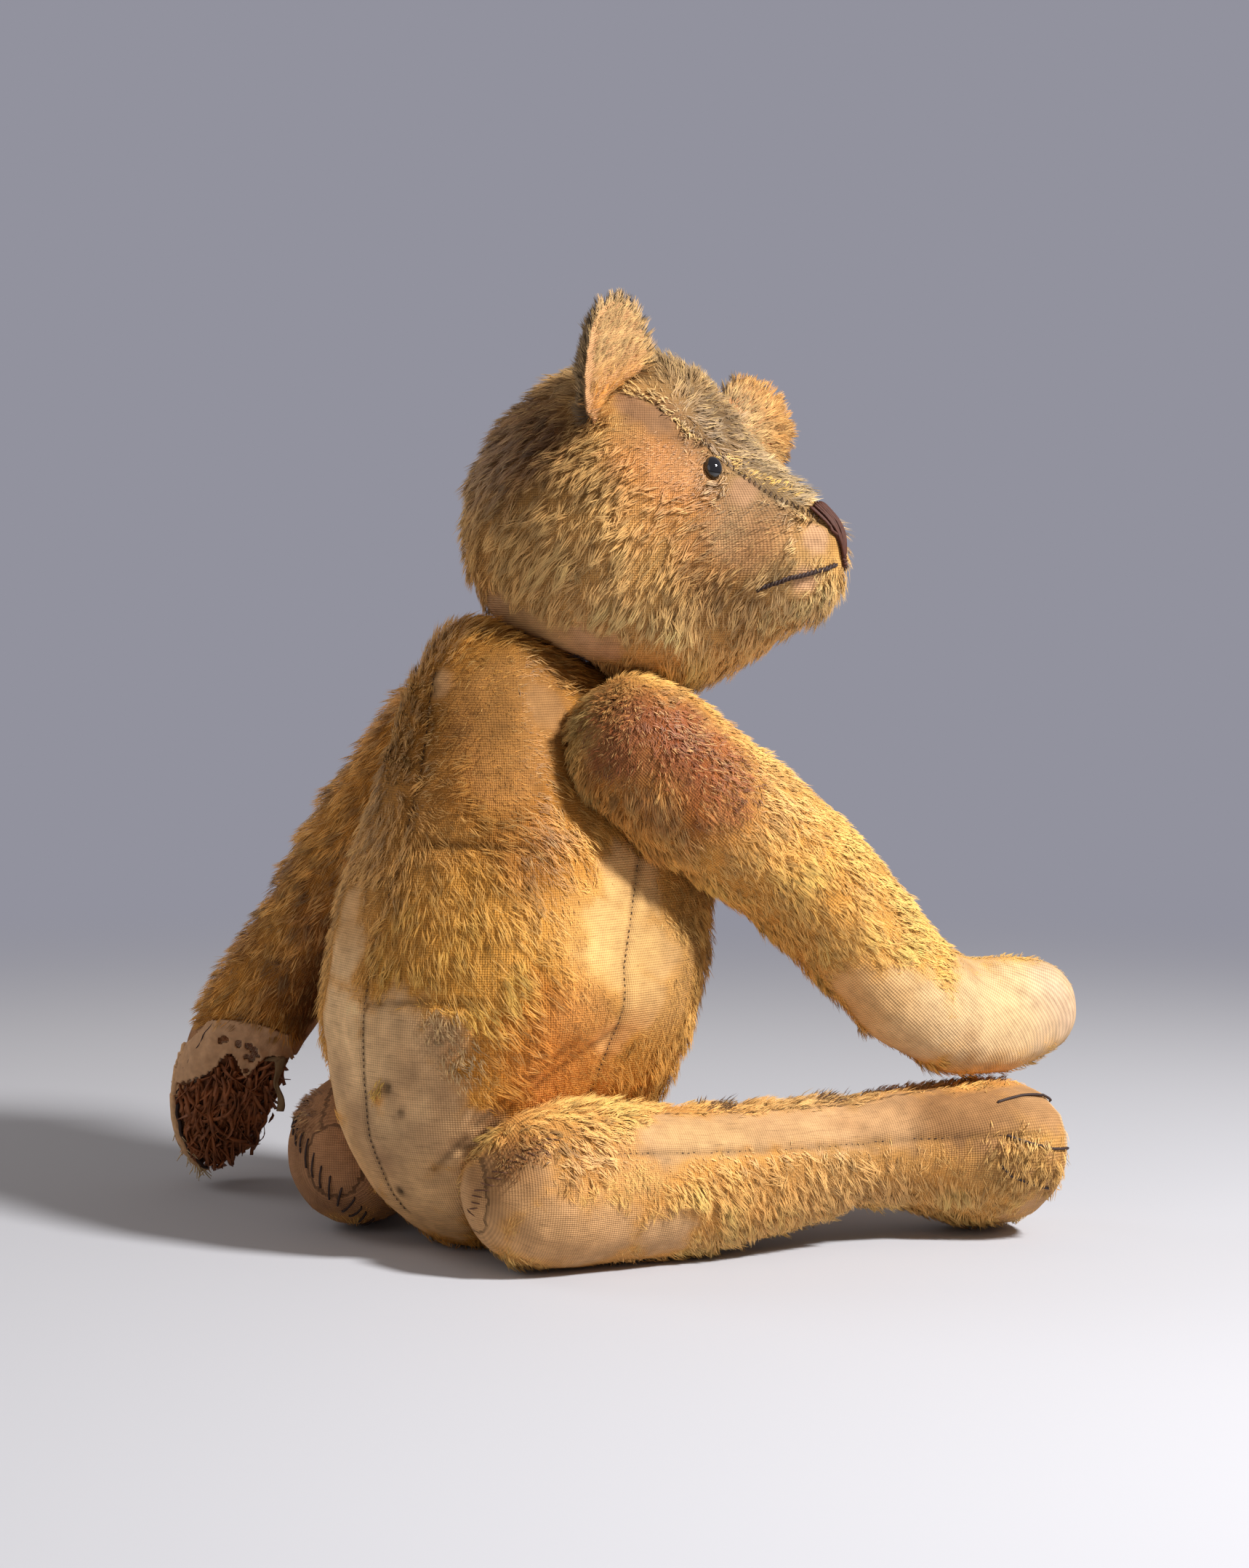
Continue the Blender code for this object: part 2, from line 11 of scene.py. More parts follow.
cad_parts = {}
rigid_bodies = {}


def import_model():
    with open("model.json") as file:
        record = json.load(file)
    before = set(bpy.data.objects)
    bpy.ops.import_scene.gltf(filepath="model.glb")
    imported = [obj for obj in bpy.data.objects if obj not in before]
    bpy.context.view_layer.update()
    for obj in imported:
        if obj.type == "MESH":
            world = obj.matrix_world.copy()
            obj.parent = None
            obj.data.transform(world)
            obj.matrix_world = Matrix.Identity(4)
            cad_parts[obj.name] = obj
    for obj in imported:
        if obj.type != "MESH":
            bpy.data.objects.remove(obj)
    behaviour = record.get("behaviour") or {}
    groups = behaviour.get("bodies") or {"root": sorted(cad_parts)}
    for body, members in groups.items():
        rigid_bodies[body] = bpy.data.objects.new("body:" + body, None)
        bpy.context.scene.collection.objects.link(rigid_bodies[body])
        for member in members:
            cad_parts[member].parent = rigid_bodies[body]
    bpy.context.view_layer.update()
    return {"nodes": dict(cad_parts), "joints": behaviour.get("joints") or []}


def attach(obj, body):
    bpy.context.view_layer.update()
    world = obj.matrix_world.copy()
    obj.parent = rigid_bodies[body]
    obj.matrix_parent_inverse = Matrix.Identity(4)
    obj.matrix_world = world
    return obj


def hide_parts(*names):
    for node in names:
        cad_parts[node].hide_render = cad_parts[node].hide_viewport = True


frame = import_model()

mm = 0.001
scene = bpy.context.scene
clearOfFloor = dict(cloth=0.1, hair=0.5,
                    fray=0.5)          # how far above the floor each one stays, in millimetres


def colour(red, green, blue):
    # a colour given on a 0 to 255 scale, as the linear values that Blender mixes
    return tuple((c / 255 / 12.92) if c < 11 else ((c / 255 + 0.055) / 1.055) ** 2.4
                 for c in (red, green, blue))


class Wire:
    # a node socket that can stand in a sum
    def __init__(self, socket):
        self.socket = socket

    def node(self, kind, settings=None, values=None, out=0):
        tree = self.socket.id_data
        made = tree.nodes.new("ShaderNode" + kind)
        for name, value in (settings or {}).items():
            if name == "stops":
                ramp = made.color_ramp
                while len(ramp.elements) < len(value):
                    ramp.elements.new(0.5)
                for stop, (place, tone) in zip(ramp.elements, value):
                    stop.position = place
                    stop.color = (*tone, 1) if len(tone) == 3 else tone
            else:
                setattr(made, name, value)
        for name, value in (values or {}).items():
            if isinstance(value, Wire):
                tree.links.new(value.socket, made.inputs[name])
            elif value is not None:
                made.inputs[name].default_value = value
        return Wire(made.outputs[out])

    def maths(self, operation, *values):
        return self.node("Math", {"operation": operation}, dict(enumerate(values)))

    def __add__(self, other):
        return self.maths("ADD", self, other)

    __radd__ = __add__

    def __mul__(self, other):
        return self.maths("MULTIPLY", self, other)

    __rmul__ = __mul__

    def __sub__(self, other):
        return self.maths("SUBTRACT", self, other)

    def __rsub__(self, other):
        return self.maths("SUBTRACT", other, self)

    def __pow__(self, power):
        return self.maths("POWER", self, power)


def newMaterial(name, roughness=0.9, **constants):
    # returns the material, its shader and a wire to start other nodes from
    made = bpy.data.materials.new(name)
    made.use_nodes = True
    shader = made.node_tree.nodes["Principled BSDF"]
    shader.inputs["Roughness"].default_value = roughness
    for socket, value in constants.items():
        shader.inputs[socket.replace("_", " ")].default_value = value
    coordinates = made.node_tree.nodes.new("ShaderNodeTexCoord")
    return made, shader, Wire(coordinates.outputs["Object"])


def feed(shader, socket, wire):
    shader.id_data.links.new(wire.socket, shader.inputs[socket])


def coat(mesh, material):
    mesh.materials.clear()
    mesh.materials.append(material)


def newObject(name, mesh, material=None):
    made = bpy.data.objects.new(name, mesh)
    scene.collection.objects.link(made)
    if material:
        coat(mesh, material)
    return made


def meshFrom(bm, name, smooth=True):
    mesh = bpy.data.meshes.new(name)
    bm.to_mesh(mesh)
    bm.free()
    if smooth:
        mesh.shade_smooth()
    return mesh


def points(mesh):
    flat = np.empty(len(mesh.vertices) * 3)
    mesh.vertices.foreach_get("co", flat)
    return flat.reshape(-1, 3)


def setPoints(mesh, places):
    mesh.vertices.foreach_set("co", np.asarray(places, float).ravel())
    mesh.update()


def normals(mesh):
    flat = np.empty(len(mesh.vertices) * 3)
    mesh.vertex_normals.foreach_get("vector", flat)
    return flat.reshape(-1, 3)


def unit(rows):
    return rows / np.maximum(np.linalg.norm(rows, axis=-1, keepdims=True), 1e-9)


def applyModifier(obj, kind, **settings):
    made = obj.modifiers.new(kind, kind)
    for name, value in settings.items():
        setattr(made, name, value)
    graph = bpy.context.evaluated_depsgraph_get()
    mesh = bpy.data.meshes.new_from_object(obj.evaluated_get(graph))
    obj.modifiers.remove(made)
    old = obj.data
    obj.data = mesh
    bpy.data.meshes.remove(old)
    return mesh


# the frames that the pieces are described in: millimetres, as on the maker's drawing

def axesOf(joint):
    out = Vector(next(j["axis"] for j in frame["joints"] if j["name"] == joint)).normalized()
    ahead = Vector((0, -1, 0))
    down = out.cross(ahead)
    return ahead, -down if down.z > 0 else down, out


headTurn = math.radians(65)
headAhead = Vector((-math.sin(headTurn), -math.cos(headTurn), 0))
headLeft = Vector((0, 0, 1)).cross(headAhead)
up = Vector((0, 0, 1))


def headPoint(forward, sideways, height):
    return (Vector((0, -57, 246)) + headAhead * forward + headLeft * sideways + up * height) * mm


def armPoint(side, forward, down, outward=0):
    root = {"right": (-61, -42, 205), "left": (61, -42, 206)}[side]
    ahead, low, out = axesOf(side + "_shoulder")
    return (Vector(root) + ahead * forward + low * down + out * outward) * mm


def legAxes(side):
    splay, sign = {"right": (math.radians(16), -1), "left": (math.radians(34), 1)}[side]
    along = Vector((sign * math.sin(splay), -math.cos(splay), 0))
    outward = Vector((sign * math.cos(splay), math.sin(splay), 0))
    return along, outward


def legPoint(side, distance, outward, height):
    root = {"right": (-58, 5, 0), "left": (60, 6, 0)}[side]
    along, aside = legAxes(side)
    return (Vector(root) + along * distance + aside * outward + up * height) * mm


def inMetres(line):
    return [Vector(p) * mm for p in line]


def spotsIn(place, listed):
    # spots listed in the frame of a limb or the head, turned into spots of the whole bear
    return [(tuple(place(*p) / mm), *rest) for p, *rest in listed]


def headLine(line):
    return [headPoint(*p) for p in line]


def armLine(side, line):
    return [armPoint(side, *p) for p in line]


def legLine(side, line):
    return [legPoint(side, *p) for p in line]


def headSpots(listed):
    return spotsIn(headPoint, listed)


def armSpots(side, listed):
    return spotsIn(lambda *p: armPoint(side, *p), listed)


def legSpots(side, listed):
    return spotsIn(lambda *p: legPoint(side, *p), listed)


# bags

def largestIsland(bm):
    left = set(bm.verts)
    best = set()
    while left:
        reached = {left.pop()}
        edge = list(reached)
        while edge:
            near = [e.other_vert(v) for v in edge for e in v.link_edges]
            edge = [v for v in set(near) if v not in reached]
            reached.update(edge)
        left -= reached
        if len(reached) > len(best):
            best = reached
    bmesh.ops.delete(bm, geom=[v for v in bm.verts if v not in best], context="VERTS")


plug = dict(radius=4, depth=9, inset=5.2, weld=0.001)       # closes the hole that a pin goes through


def bagSkin(name, nodes, voxel, rounds):
    # the outside of a bag as one even skin, with its pin hole closed
    bm = bmesh.new()
    for node in nodes:
        bm.from_mesh(frame["nodes"][node].data)
    bmesh.ops.remove_doubles(bm, verts=bm.verts, dist=plug["weld"] * mm)
    for joint in frame["joints"]:
        side = {joint["child"]: 1, joint["parent"]: -1}.get(name, 0)
        if side:
            axis = Vector(joint["axis"]).normalized() * side
            place = Matrix.Translation(Vector(joint["pos_m"]) + axis * plug["inset"] * mm)
            place = place @ axis.to_track_quat("Z", "Y").to_matrix().to_4x4()
            bmesh.ops.create_cone(bm, cap_ends=True, segments=12, radius1=plug["radius"] * mm,
                                  radius2=plug["radius"] * mm, depth=plug["depth"] * mm, matrix=place)
    skin = newObject(name + "Skin", meshFrom(bm, name + "Skin"))
    applyModifier(skin, "REMESH", mode="VOXEL", voxel_size=voxel * mm)
    bm = bmesh.new()
    bm.from_mesh(skin.data)
    largestIsland(bm)
    for _ in range(rounds):
        bmesh.ops.smooth_vert(bm, verts=bm.verts, factor=0.5, use_axis_x=True, use_axis_y=True,
                              use_axis_z=True)
    bm.to_mesh(skin.data)
    bm.free()
    return skin


clothUnderPressure = dict(quality=4, mass=0.3, tension_stiffness=8, bending_stiffness=0.4, use_pressure=True,
                          uniform_pressure_force=4, vertex_group_mass="held")
clothSteps = 20


def swell(skin, pinned, cap):
    # the bag is blown up as cloth under pressure, and no point moves further than the cap
    start = points(skin.data)
    group = skin.vertex_groups.new(name="held")
    for index, weight in enumerate(pinned):
        if weight > 0.01:
            group.add([index], float(min(weight, 1)), "REPLACE")
    cloth = skin.modifiers.new("Cloth", "CLOTH")
    for name, value in clothUnderPressure.items():
        setattr(cloth.settings, name, value)
    cloth.settings.effector_weights.gravity = 0
    cloth.collision_settings.use_collision = False
    cloth.point_cache.frame_start, cloth.point_cache.frame_end = 1, clothSteps
    for step in range(1, clothSteps + 1):
        scene.frame_set(step)
    graph = bpy.context.evaluated_depsgraph_get()
    moved = bpy.data.meshes.new_from_object(skin.evaluated_get(graph))
    shift = points(moved) - start
    bpy.data.meshes.remove(moved)
    skin.modifiers.remove(cloth)
    skin.vertex_groups.clear()
    scene.frame_set(1)
    far = np.linalg.norm(shift, axis=1, keepdims=True)
    shift *= cap * mm / (cap * mm + far)
    setPoints(skin.data, start + shift)


def distanceTo(places, line):
    tree = KDTree(len(line))
    for index, point in enumerate(line):
        tree.insert(point, index)
    tree.balance()
    found = [tree.find(p) for p in places]
    return np.array([f[2] for f in found]), np.array([f[1] for f in found])


def alongSurface(tree, guide, step=1.0):
    # a line of evenly spaced points on a surface, through the guide points, and the normals there
    guide = [Vector(g) for g in guide]
    dense = []
    for one, two in zip(guide, guide[1:]):
        count = max(1, round((two - one).length / (step * mm)))
        dense += [one.lerp(two, k / count) for k in range(count)]
    dense.append(guide[-1])
    found = [tree.find_nearest(p) for p in dense]
    return [f[0] for f in found], [f[1] for f in found]


def noiseAt(places, size, seed=0, octaves=1):
    offset = Vector((seed * 7.3, seed * 3.1, seed * 5.7))
    total = np.zeros(len(places))
    for octave in range(octaves):
        scale = 2 ** octave / (size * mm)
        total += [noise.noise(Vector(p) * scale + offset) / 2 ** octave for p in places]
    return total


def spots(places, listed):
    # how strongly each point lies in a listed blob of (centre in millimetres, radius)
    total = np.zeros(len(places))
    for centre, radius in listed:
        far = np.linalg.norm(places - np.array(centre) * mm, axis=1) / (radius * mm)
        total = np.maximum(total, np.exp(-far ** 2))
    return total


def smoothStep(values, low, high):
    t = np.clip((values - low) / (high - low), 0, 1)
    return t * t * (3 - 2 * t)


def tangents(field, normal):
    flat = field - normal * np.sum(field * normal, axis=1, keepdims=True)
    return unit(flat)


def blendedDirections(places, listed):
    # a comb direction from listed (centre, radius, direction) entries
    total = np.zeros((len(places), 3))
    for centre, radius, way in listed:
        far = np.linalg.norm(places - np.array(centre) * mm, axis=1) / (radius * mm)
        total += np.exp(-far ** 2)[:, None] * np.array(way) + 1e-4 * np.array(way)
    return total


def paint(places, base, patches):
    # a colour for each point: a base, then listed (centre, radius, colour, strength) patches over it
    tint = np.tile(np.array(base), (len(places), 1))
    for centre, radius, shade, strength in patches:
        wobble = 1 + 0.45 * noiseAt(places, radius * 0.45, seed=radius)
        far = np.linalg.norm(places - np.array(centre) * mm, axis=1) / (radius * mm) * wobble
        weight = (strength * np.clip(1.5 - far, 0, 1) ** 1.2)[:, None]
        weight = np.clip(weight, 0, 1)
        tint = tint * (1 - weight) + np.array(shade) * weight
    return tint


def setColours(mesh, name, tints):
    layer = mesh.color_attributes.new(name, "FLOAT_COLOR", "POINT")
    rows = np.ones((len(mesh.vertices), 4))
    rows[:, :3] = tints
    layer.data.foreach_set("color", rows.ravel())


# pile: thousands of tapered tufts with their tips drawn together

def tuftTemplate(rings):
    bm = bmesh.new()
    bmesh.ops.create_uvsphere(bm, u_segments=3, v_segments=rings + 1, radius=1)
    bmesh.ops.triangulate(bm, faces=bm.faces)
    places = np.array([v.co for v in bm.verts])
    faces = np.array([[v.index for v in f.verts] for f in bm.faces])
    bm.free()
    run = (1 - places[:, 2]) / 2          # 0 at the root, 1 at the tip
    swap = faces[:, ::-1]
    return places[:, :2], run, swap


def spikeTemplate():
    # one short hair: a closed three-sided point
    bm = bmesh.new()
    bmesh.ops.create_cone(bm, cap_ends=True, segments=3, radius1=1, radius2=0, depth=1)
    bmesh.ops.remove_doubles(bm, verts=bm.verts, dist=0.01)
    bmesh.ops.triangulate(bm, faces=bm.faces)
    bmesh.ops.recalc_face_normals(bm, faces=bm.faces)
    bm.verts.ensure_lookup_table()
    shape = np.array([(v.co.x, v.co.y) for v in bm.verts])
    run = np.array([v.co.z + 0.5 for v in bm.verts])
    faces = np.array([[v.index for v in f.verts] for f in bm.faces])
    bm.free()
    return shape, run, faces


def growPile(name, skin, look, material, rng):
    mesh = skin.data
    mesh.calc_loop_triangles()
    triangles = np.empty(len(mesh.loop_triangles) * 3, int)
    mesh.loop_triangles.foreach_get("vertices", triangles)
    triangles = triangles.reshape(-1, 3)
    places, upright = points(mesh), normals(mesh)
    corner = places[triangles]
    area = np.linalg.norm(np.cross(corner[:, 1] - corner[:, 0], corner[:, 2] - corner[:, 0]), axis=1) / 2
    weight = area * look["density"][triangles].mean(axis=1)

    def scatter(count):
        pick = rng.choice(len(triangles), count, p=weight / weight.sum())
        a, b = rng.random(count), rng.random(count)
        flip = a + b > 1
        a[flip], b[flip] = 1 - a[flip], 1 - b[flip]
        share = np.stack([1 - a - b, a, b], axis=1)

        def at(values):
            return np.einsum("ij,ij...->i...", share, values[triangles[pick]])
        return at

    def lay(at, count, swing, lift):
        normal = unit(at(upright))
        comb = tangents(at(look["comb"]), normal)
        side = np.cross(normal, comb)
        angle = rng.normal(0, math.radians(swing), count)[:, None]
        way = comb * np.cos(angle) + side * np.sin(angle)
        rise = np.clip(at(look["lift"]) + rng.normal(0, lift, count), 4, 80)
        rise = np.radians(rise)[:, None]
        return normal, way * np.cos(rise) + normal * np.sin(rise)

    clumps = max(40, int(look["count"] / look["perClump"]))
    at = scatter(clumps)
    clumpRoot = at(places)
    _, clumpWay = lay(at, clumps, look["clumpSwing"], look["clumpLift"])
    clumpLength = at(look["length"]) * mm * rng.uniform(0.75, 1.2, clumps)
    clumpTip = clumpRoot + clumpWay * clumpLength[:, None]
    clumpShade = rng.normal(0, look["clumpShade"], clumps)
    tree = KDTree(clumps)
    for index, point in enumerate(clumpRoot):
        tree.insert(point, index)
    tree.balance()

    count = look["count"]
    at = scatter(count)
    root = at(places)
    normal, way = lay(at, count, look["swing"], look["spread"])
    length = at(look["length"]) * mm * rng.uniform(0.7, 1.15, count)
    owner = np.array([tree.find(p)[1] for p in root])
    pull = np.clip(rng.normal(look["pull"], 0.15, count), 0, 0.9)[:, None]
    tip = (root + way * length[:, None]) * (1 - pull) + clumpTip[owner] * pull
    reach = tip - root
    far = np.linalg.norm(reach, axis=1, keepdims=True)
    tip = root + reach / far * np.clip(far, length[:, None] * 0.55, length[:, None] * 1.1)
    height = np.sum((tip - root) * normal, axis=1)
    tip += normal * np.clip(0.5 * mm - height, 0, None)[:, None]
    middle = root * 0.55 + tip * 0.45 + normal * (length * rng.uniform(0.06, 0.2, count))[:, None]
    root = root - normal * 0.4 * mm

    shape, run, faces = look["template"]
    t = run[None, :, None]
    line = root[:, None] * (1 - t) ** 2 + middle[:, None] * 2 * t * (1 - t) + tip[:, None] * t ** 2
    line[..., 2] = np.maximum(line[..., 2], clearOfFloor["hair"] * mm)
    side = unit(np.cross(normal, tip - root))
    top = unit(np.cross(tip - root, side))
    width = (look["width"] / 2 * mm * rng.uniform(0.6, 1.35, count))[:, None, None]
    flat = look.get("flatness", 0.6)
    placed = line + width * (side[:, None] * shape[None, :, :1] + top[:, None] * shape[None, :, 1:] * flat)

    tufts = bpy.data.meshes.new(name)
    total = len(run) * count
    every = (faces[None] + (np.arange(count) * len(run))[:, None, None]).reshape(-1)
    tufts.vertices.add(total)
    tufts.vertices.foreach_set("co", placed.reshape(-1))
    tufts.loops.add(len(every))
    tufts.loops.foreach_set("vertex_index", every.astype(np.int32))
    tufts.polygons.add(len(every) // 3)
    tufts.polygons.foreach_set("loop_start", np.arange(0, len(every), 3, dtype=np.int32))
    tufts.update(calc_edges=True)
    tufts.shade_smooth()
    shade = 1 + clumpShade[owner] + rng.normal(0, look["shade"], count)
    rootTint, tipTint = at(look["rootTint"]), at(look["tipTint"])
    pale = rng.random(count) < look["pale"]
    tipTint[pale] = tipTint[pale] * 0.5 + np.array(look["paleTint"]) * 0.5
    mix = smoothStep(run, 0.0, 1.0)[None, :, None]
    shade = np.clip(shade, 0.5, 1.5)[:, None, None]
    tints = (rootTint[:, None] * (1 - mix) + tipTint[:, None] * mix) * shade
    tints /= np.clip(tints.max(axis=2, keepdims=True) / 0.93, 1, None)
    setColours(tufts, "tint", tints.reshape(-1, 3))
    soft = unit(np.repeat(normal, len(run), axis=0) * look.get("softness", 1.6)
                + (placed - line).reshape(-1, 3) / (look["width"] * mm))
    tufts.normals_split_custom_set_from_vertices(soft.tolist())
    return newObject(name, tufts, material)


# materials

def clothMaterial(name, pitch, bump, contrast=0.5):
    # woven backing: the tint painted on the bag, darker between the threads
    made, shader, here = newMaterial(name, 0.92, Specular_IOR_Level=0.2)
    tint = here.node("Attribute", {"attribute_name": "tint"})
    weave = here.node("Attribute", {"attribute_name": "weave"}, out=1)
    across = weave.node("SeparateXYZ", None, {0: weave}, 0)
    lengthways = Wire(across.socket.node.outputs[1])
    count = 2 * math.pi / (pitch * mm)
    grain = here.node("TexNoise", None, {"Vector": here, "Scale": 900, "Detail": 3})
    warp = across.maths("SINE", across * count + grain * 1.4)
    weft = across.maths("SINE", lengthways * count + grain * 1.2)
    threads = (warp + weft) * 0.25 + 0.5
    blotch = here.node("TexNoise", None, {"Vector": here, "Scale": 160, "Detail": 4, "Roughness": 0.6})
    rows = here.node("VectorMath", {"operation": "MULTIPLY"}, {0: weave, 1: (90, 620, 1)})
    worn = here.node("TexNoise", None, {"Vector": rows, "Scale": 1, "Detail": 2})
    streak = worn.node("MapRange", {"interpolation_type": "SMOOTHSTEP"},
                       {"Value": worn, "From Min": 0.52, "From Max": 0.72})
    shade = threads * contrast * 0.5 + (1 - contrast * 0.3) + blotch * 0.45 - 0.27 - streak * 0.15
    mixed = tint.node("VectorMath", {"operation": "SCALE"}, {0: tint, "Scale": shade})
    feed(shader, "Base Color", mixed)
    relief = threads * 0.6 + grain * 0.3 + blotch * 1.2
    feed(shader, "Normal",
         here.node("Bump", None, {"Height": relief, "Strength": bump, "Distance": 0.4 * mm}))
    return made


def tuftMaterial(name, roughness=0.55):
    made, shader, here = newMaterial(name, roughness, Specular_IOR_Level=0.35)
    tint = here.node("Attribute", {"attribute_name": "tint"})
    feed(shader, "Base Color", tint)
    return made


def plainMaterial(name, tone, roughness=0.8, bump=0.0, scale=700, spread=0.3, **constants):
    made, shader, here = newMaterial(name, roughness, **constants)
    grain = here.node("TexNoise", None, {"Vector": here, "Scale": scale, "Detail": 4})
    shade = grain * spread + (1 - spread / 2)
    base = here.node("RGB")
    base.socket.default_value = (*tone, 1)
    feed(shader, "Base Color", base.node("VectorMath", {"operation": "SCALE"}, {0: base, "Scale": shade}))
    if bump:
        feed(shader, "Normal",
             here.node("Bump", None, {"Height": grain, "Strength": bump, "Distance": 0.5 * mm}))
    return made


backing = clothMaterial("wovenBacking", 0.95, 1.0, 1.0)
pileFinish = tuftMaterial("mohair")
threadFinish = plainMaterial("darkThread", colour(50, 29, 20), 0.7)
seamFinish = plainMaterial("brownThread", colour(98, 62, 38), 0.8)
noseFinish = plainMaterial("noseThread", colour(74, 34, 16), 0.72, 0.0, 700, 1.3)
feltFinish = plainMaterial("felt", colour(192, 148, 108), 0.95, 1.0, 300, 0.8)
woolFinish = plainMaterial("woodWool", colour(146, 84, 42), 0.65, 0.3, 150, 1.9)
# felt of the hanging strip, painted darker for the shade it hangs in: painted shade
stripFinish = plainMaterial("darkenedStripFelt", colour(122, 96, 64), 0.95, 0.8, 380, 0.6)
glassFinish = plainMaterial("blackGlass", (0.004, 0.003, 0.003), 0.06, Coat_Weight=1.0, Coat_Roughness=0.03)

peach = colour(226, 174, 116)
gold = colour(234, 170, 78)
cream = colour(250, 208, 132)
amber = colour(224, 146, 62)
mouse = colour(164, 124, 80)
bone = colour(212, 174, 126)
brownCloth = colour(170, 122, 84)

# the bear is usually seen from one side: what lies to the right then, and what lies towards the viewer
right = Vector((-0.629, -0.777, 0))
viewerSide = (-0.777, 0.629, 0)
toViewer = Vector(viewerSide)

# places on the torn paw are given as a distance to that right and a height, in millimetres


tearEdge = ((-130, 46), (-121, 49.5), (-113, 53.5), (-108.7, 57), (-105, 62), (-102, 64.5), (-99.5, 61),
            (-97.5, 54), (-95.8, 52), (-93.5, 55), (-91, 58.5), (-88, 61.5), (-84.5, 63), (-76, 60))
rolledRim = ((5, -115), (9, -118.5), (16, -123.5), (24, -127), (31, -128.8), (44, -129.6), (52, -128.5))


def tornTop(across):
    # the ragged lower edge of the felt that is left: two arches with a tongue between them
    return float(np.interp(across, *zip(*tearEdge))) + 0.5 * math.sin(across * 2.3)


mothHoles = [(-104, 70.6, 1.3), (-105.9, 69.6, 1.0), (-98.2, 68.6, 1.2), (-94.6, 68, 0.9), (-93.4, 67.4, 1.2),
             (-91.8, 65.8, 1.2), (-91.2, 63.4, 1.2), (-93, 61.8, 1.2), (-95, 62.8, 0.9), (-95.8, 56.2, 1.0)]


def rimAcross(height):
    # the outer edge of the opening, where the cloth has rolled back
    return float(np.interp(height, *zip(*rolledRim)))


# the six bags
print("bags")
bagOf = {
    "body": dict(nodes=["body_cover", "body_stuffing"], voxel=3.8, rounds=10),
    "head": dict(nodes=["head_cover", "head_stuffing"], voxel=3.2, rounds=6),
    "right_arm": dict(nodes=["right_arm_cover", "right_arm_stuffing", "right_paw_pad"], voxel=3.1, rounds=6),
    "left_arm": dict(nodes=["left_arm_cover", "left_arm_stuffing", "left_paw_pad"], voxel=3.1, rounds=6),
    "right_leg": dict(nodes=["right_leg_cover", "right_leg_stuffing", "right_sole"], voxel=3.3, rounds=6),
    "left_leg": dict(nodes=["left_leg_cover", "left_leg_stuffing", "left_sole"], voxel=3.5, rounds=6),
}
skins, trees, seamShade = {}, {}, {}
swelling = 1.2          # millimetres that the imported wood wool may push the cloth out


jointArea = dict(held=24, free=46,
                 flat=4)      # the cloth is held inside one distance and free beyond the other


def heldAtJoints(bag):
    places = points(skins[bag].data)
    held = np.zeros(len(places))
    for joint in frame["joints"]:
        if bag in (joint["child"], joint["parent"]):
            far = np.linalg.norm(places - np.array(joint["pos_m"]), axis=1)
            held = np.maximum(held, 1 - smoothStep(far, jointArea["held"] * mm, jointArea["free"] * mm))
    return held


for bag, made in bagOf.items():
    skins[bag] = bagSkin(bag, made["nodes"], made["voxel"], made["rounds"])
    swell(skins[bag], heldAtJoints(bag), swelling)
    trees[bag] = BVHTree.FromObject(skins[bag], bpy.context.evaluated_depsgraph_get())
    print("  ", bag, len(skins[bag].data.vertices))


packing = dict(voxel=7, inset=4)


def packBag(bag):
    # the wood wool inside a bag, as a plain lump a little smaller than its cloth
    lump = skins[bag].copy()
    lump.data = skins[bag].data.copy()
    lump.name = bag + "Packing"
    scene.collection.objects.link(lump)
    applyModifier(lump, "REMESH", mode="VOXEL", voxel_size=packing["voxel"] * mm)
    lump.data.calc_loop_triangles()
    setPoints(lump.data, points(lump.data) - normals(lump.data) * packing["inset"] * mm)
    lump.data.shade_smooth()
    coat(lump.data, woolFinish)
    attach(lump, bag)
    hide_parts(bag + "_stuffing")


for bag in bagOf:
    packBag(bag)


def finishBag(bag, weave, seamLines=(), dents=()):
    # one subdivision, then seams sink in with puckers beside them, and the wood wool shows as lumps; a mask
    # of painted shade along the sunken seams is kept for the colouring
    skin = skins[bag]
    applyModifier(skin, "SUBSURF", levels=1, render_levels=1)
    skin.data.shade_smooth()
    mesh = skin.data
    places, upright = points(mesh), normals(mesh)
    shift, creaseShade = np.zeros(len(places)), np.zeros(len(places))
    for guide, depth, width, pucker in seamLines:
        line, _ = alongSurface(trees[bag], guide)
        far, nearest = distanceTo(places, line)
        # painted shade: the cloth along each seam is marked darker, the more where the seam sinks deeper
        creaseShade = np.maximum(creaseShade, min(depth, 1) * np.exp(-(far / (1.5 * mm)) ** 2))
        shift -= depth * np.exp(-(far / (width * mm)) ** 2)
        if pucker:
            shift -= pucker * np.exp(-(far / (width * 2.4 * mm)) ** 2) * (0.5 + 0.5 * np.sin(nearest * 0.9))
    for centre, radius, depth in dents:
        far = np.linalg.norm(places - np.array(centre) * mm, axis=1)
        shift -= depth * np.exp(-(far / (radius * mm)) ** 2)
    shift += 0.5 * noiseAt(places, 22, 4) + 0.35 * noiseAt(places, 9, 5)
    places = places + upright * (shift * mm)[:, None]
    places[:, 2] = np.maximum(places[:, 2], clearOfFloor["cloth"] * mm)
    setPoints(mesh, places)
    seamShade[bag] = creaseShade
    layer = mesh.attributes.new("weave", "FLOAT_VECTOR", "POINT")
    layer.data.foreach_set("vector", np.asarray(weave(places, upright), float).ravel())
    return places


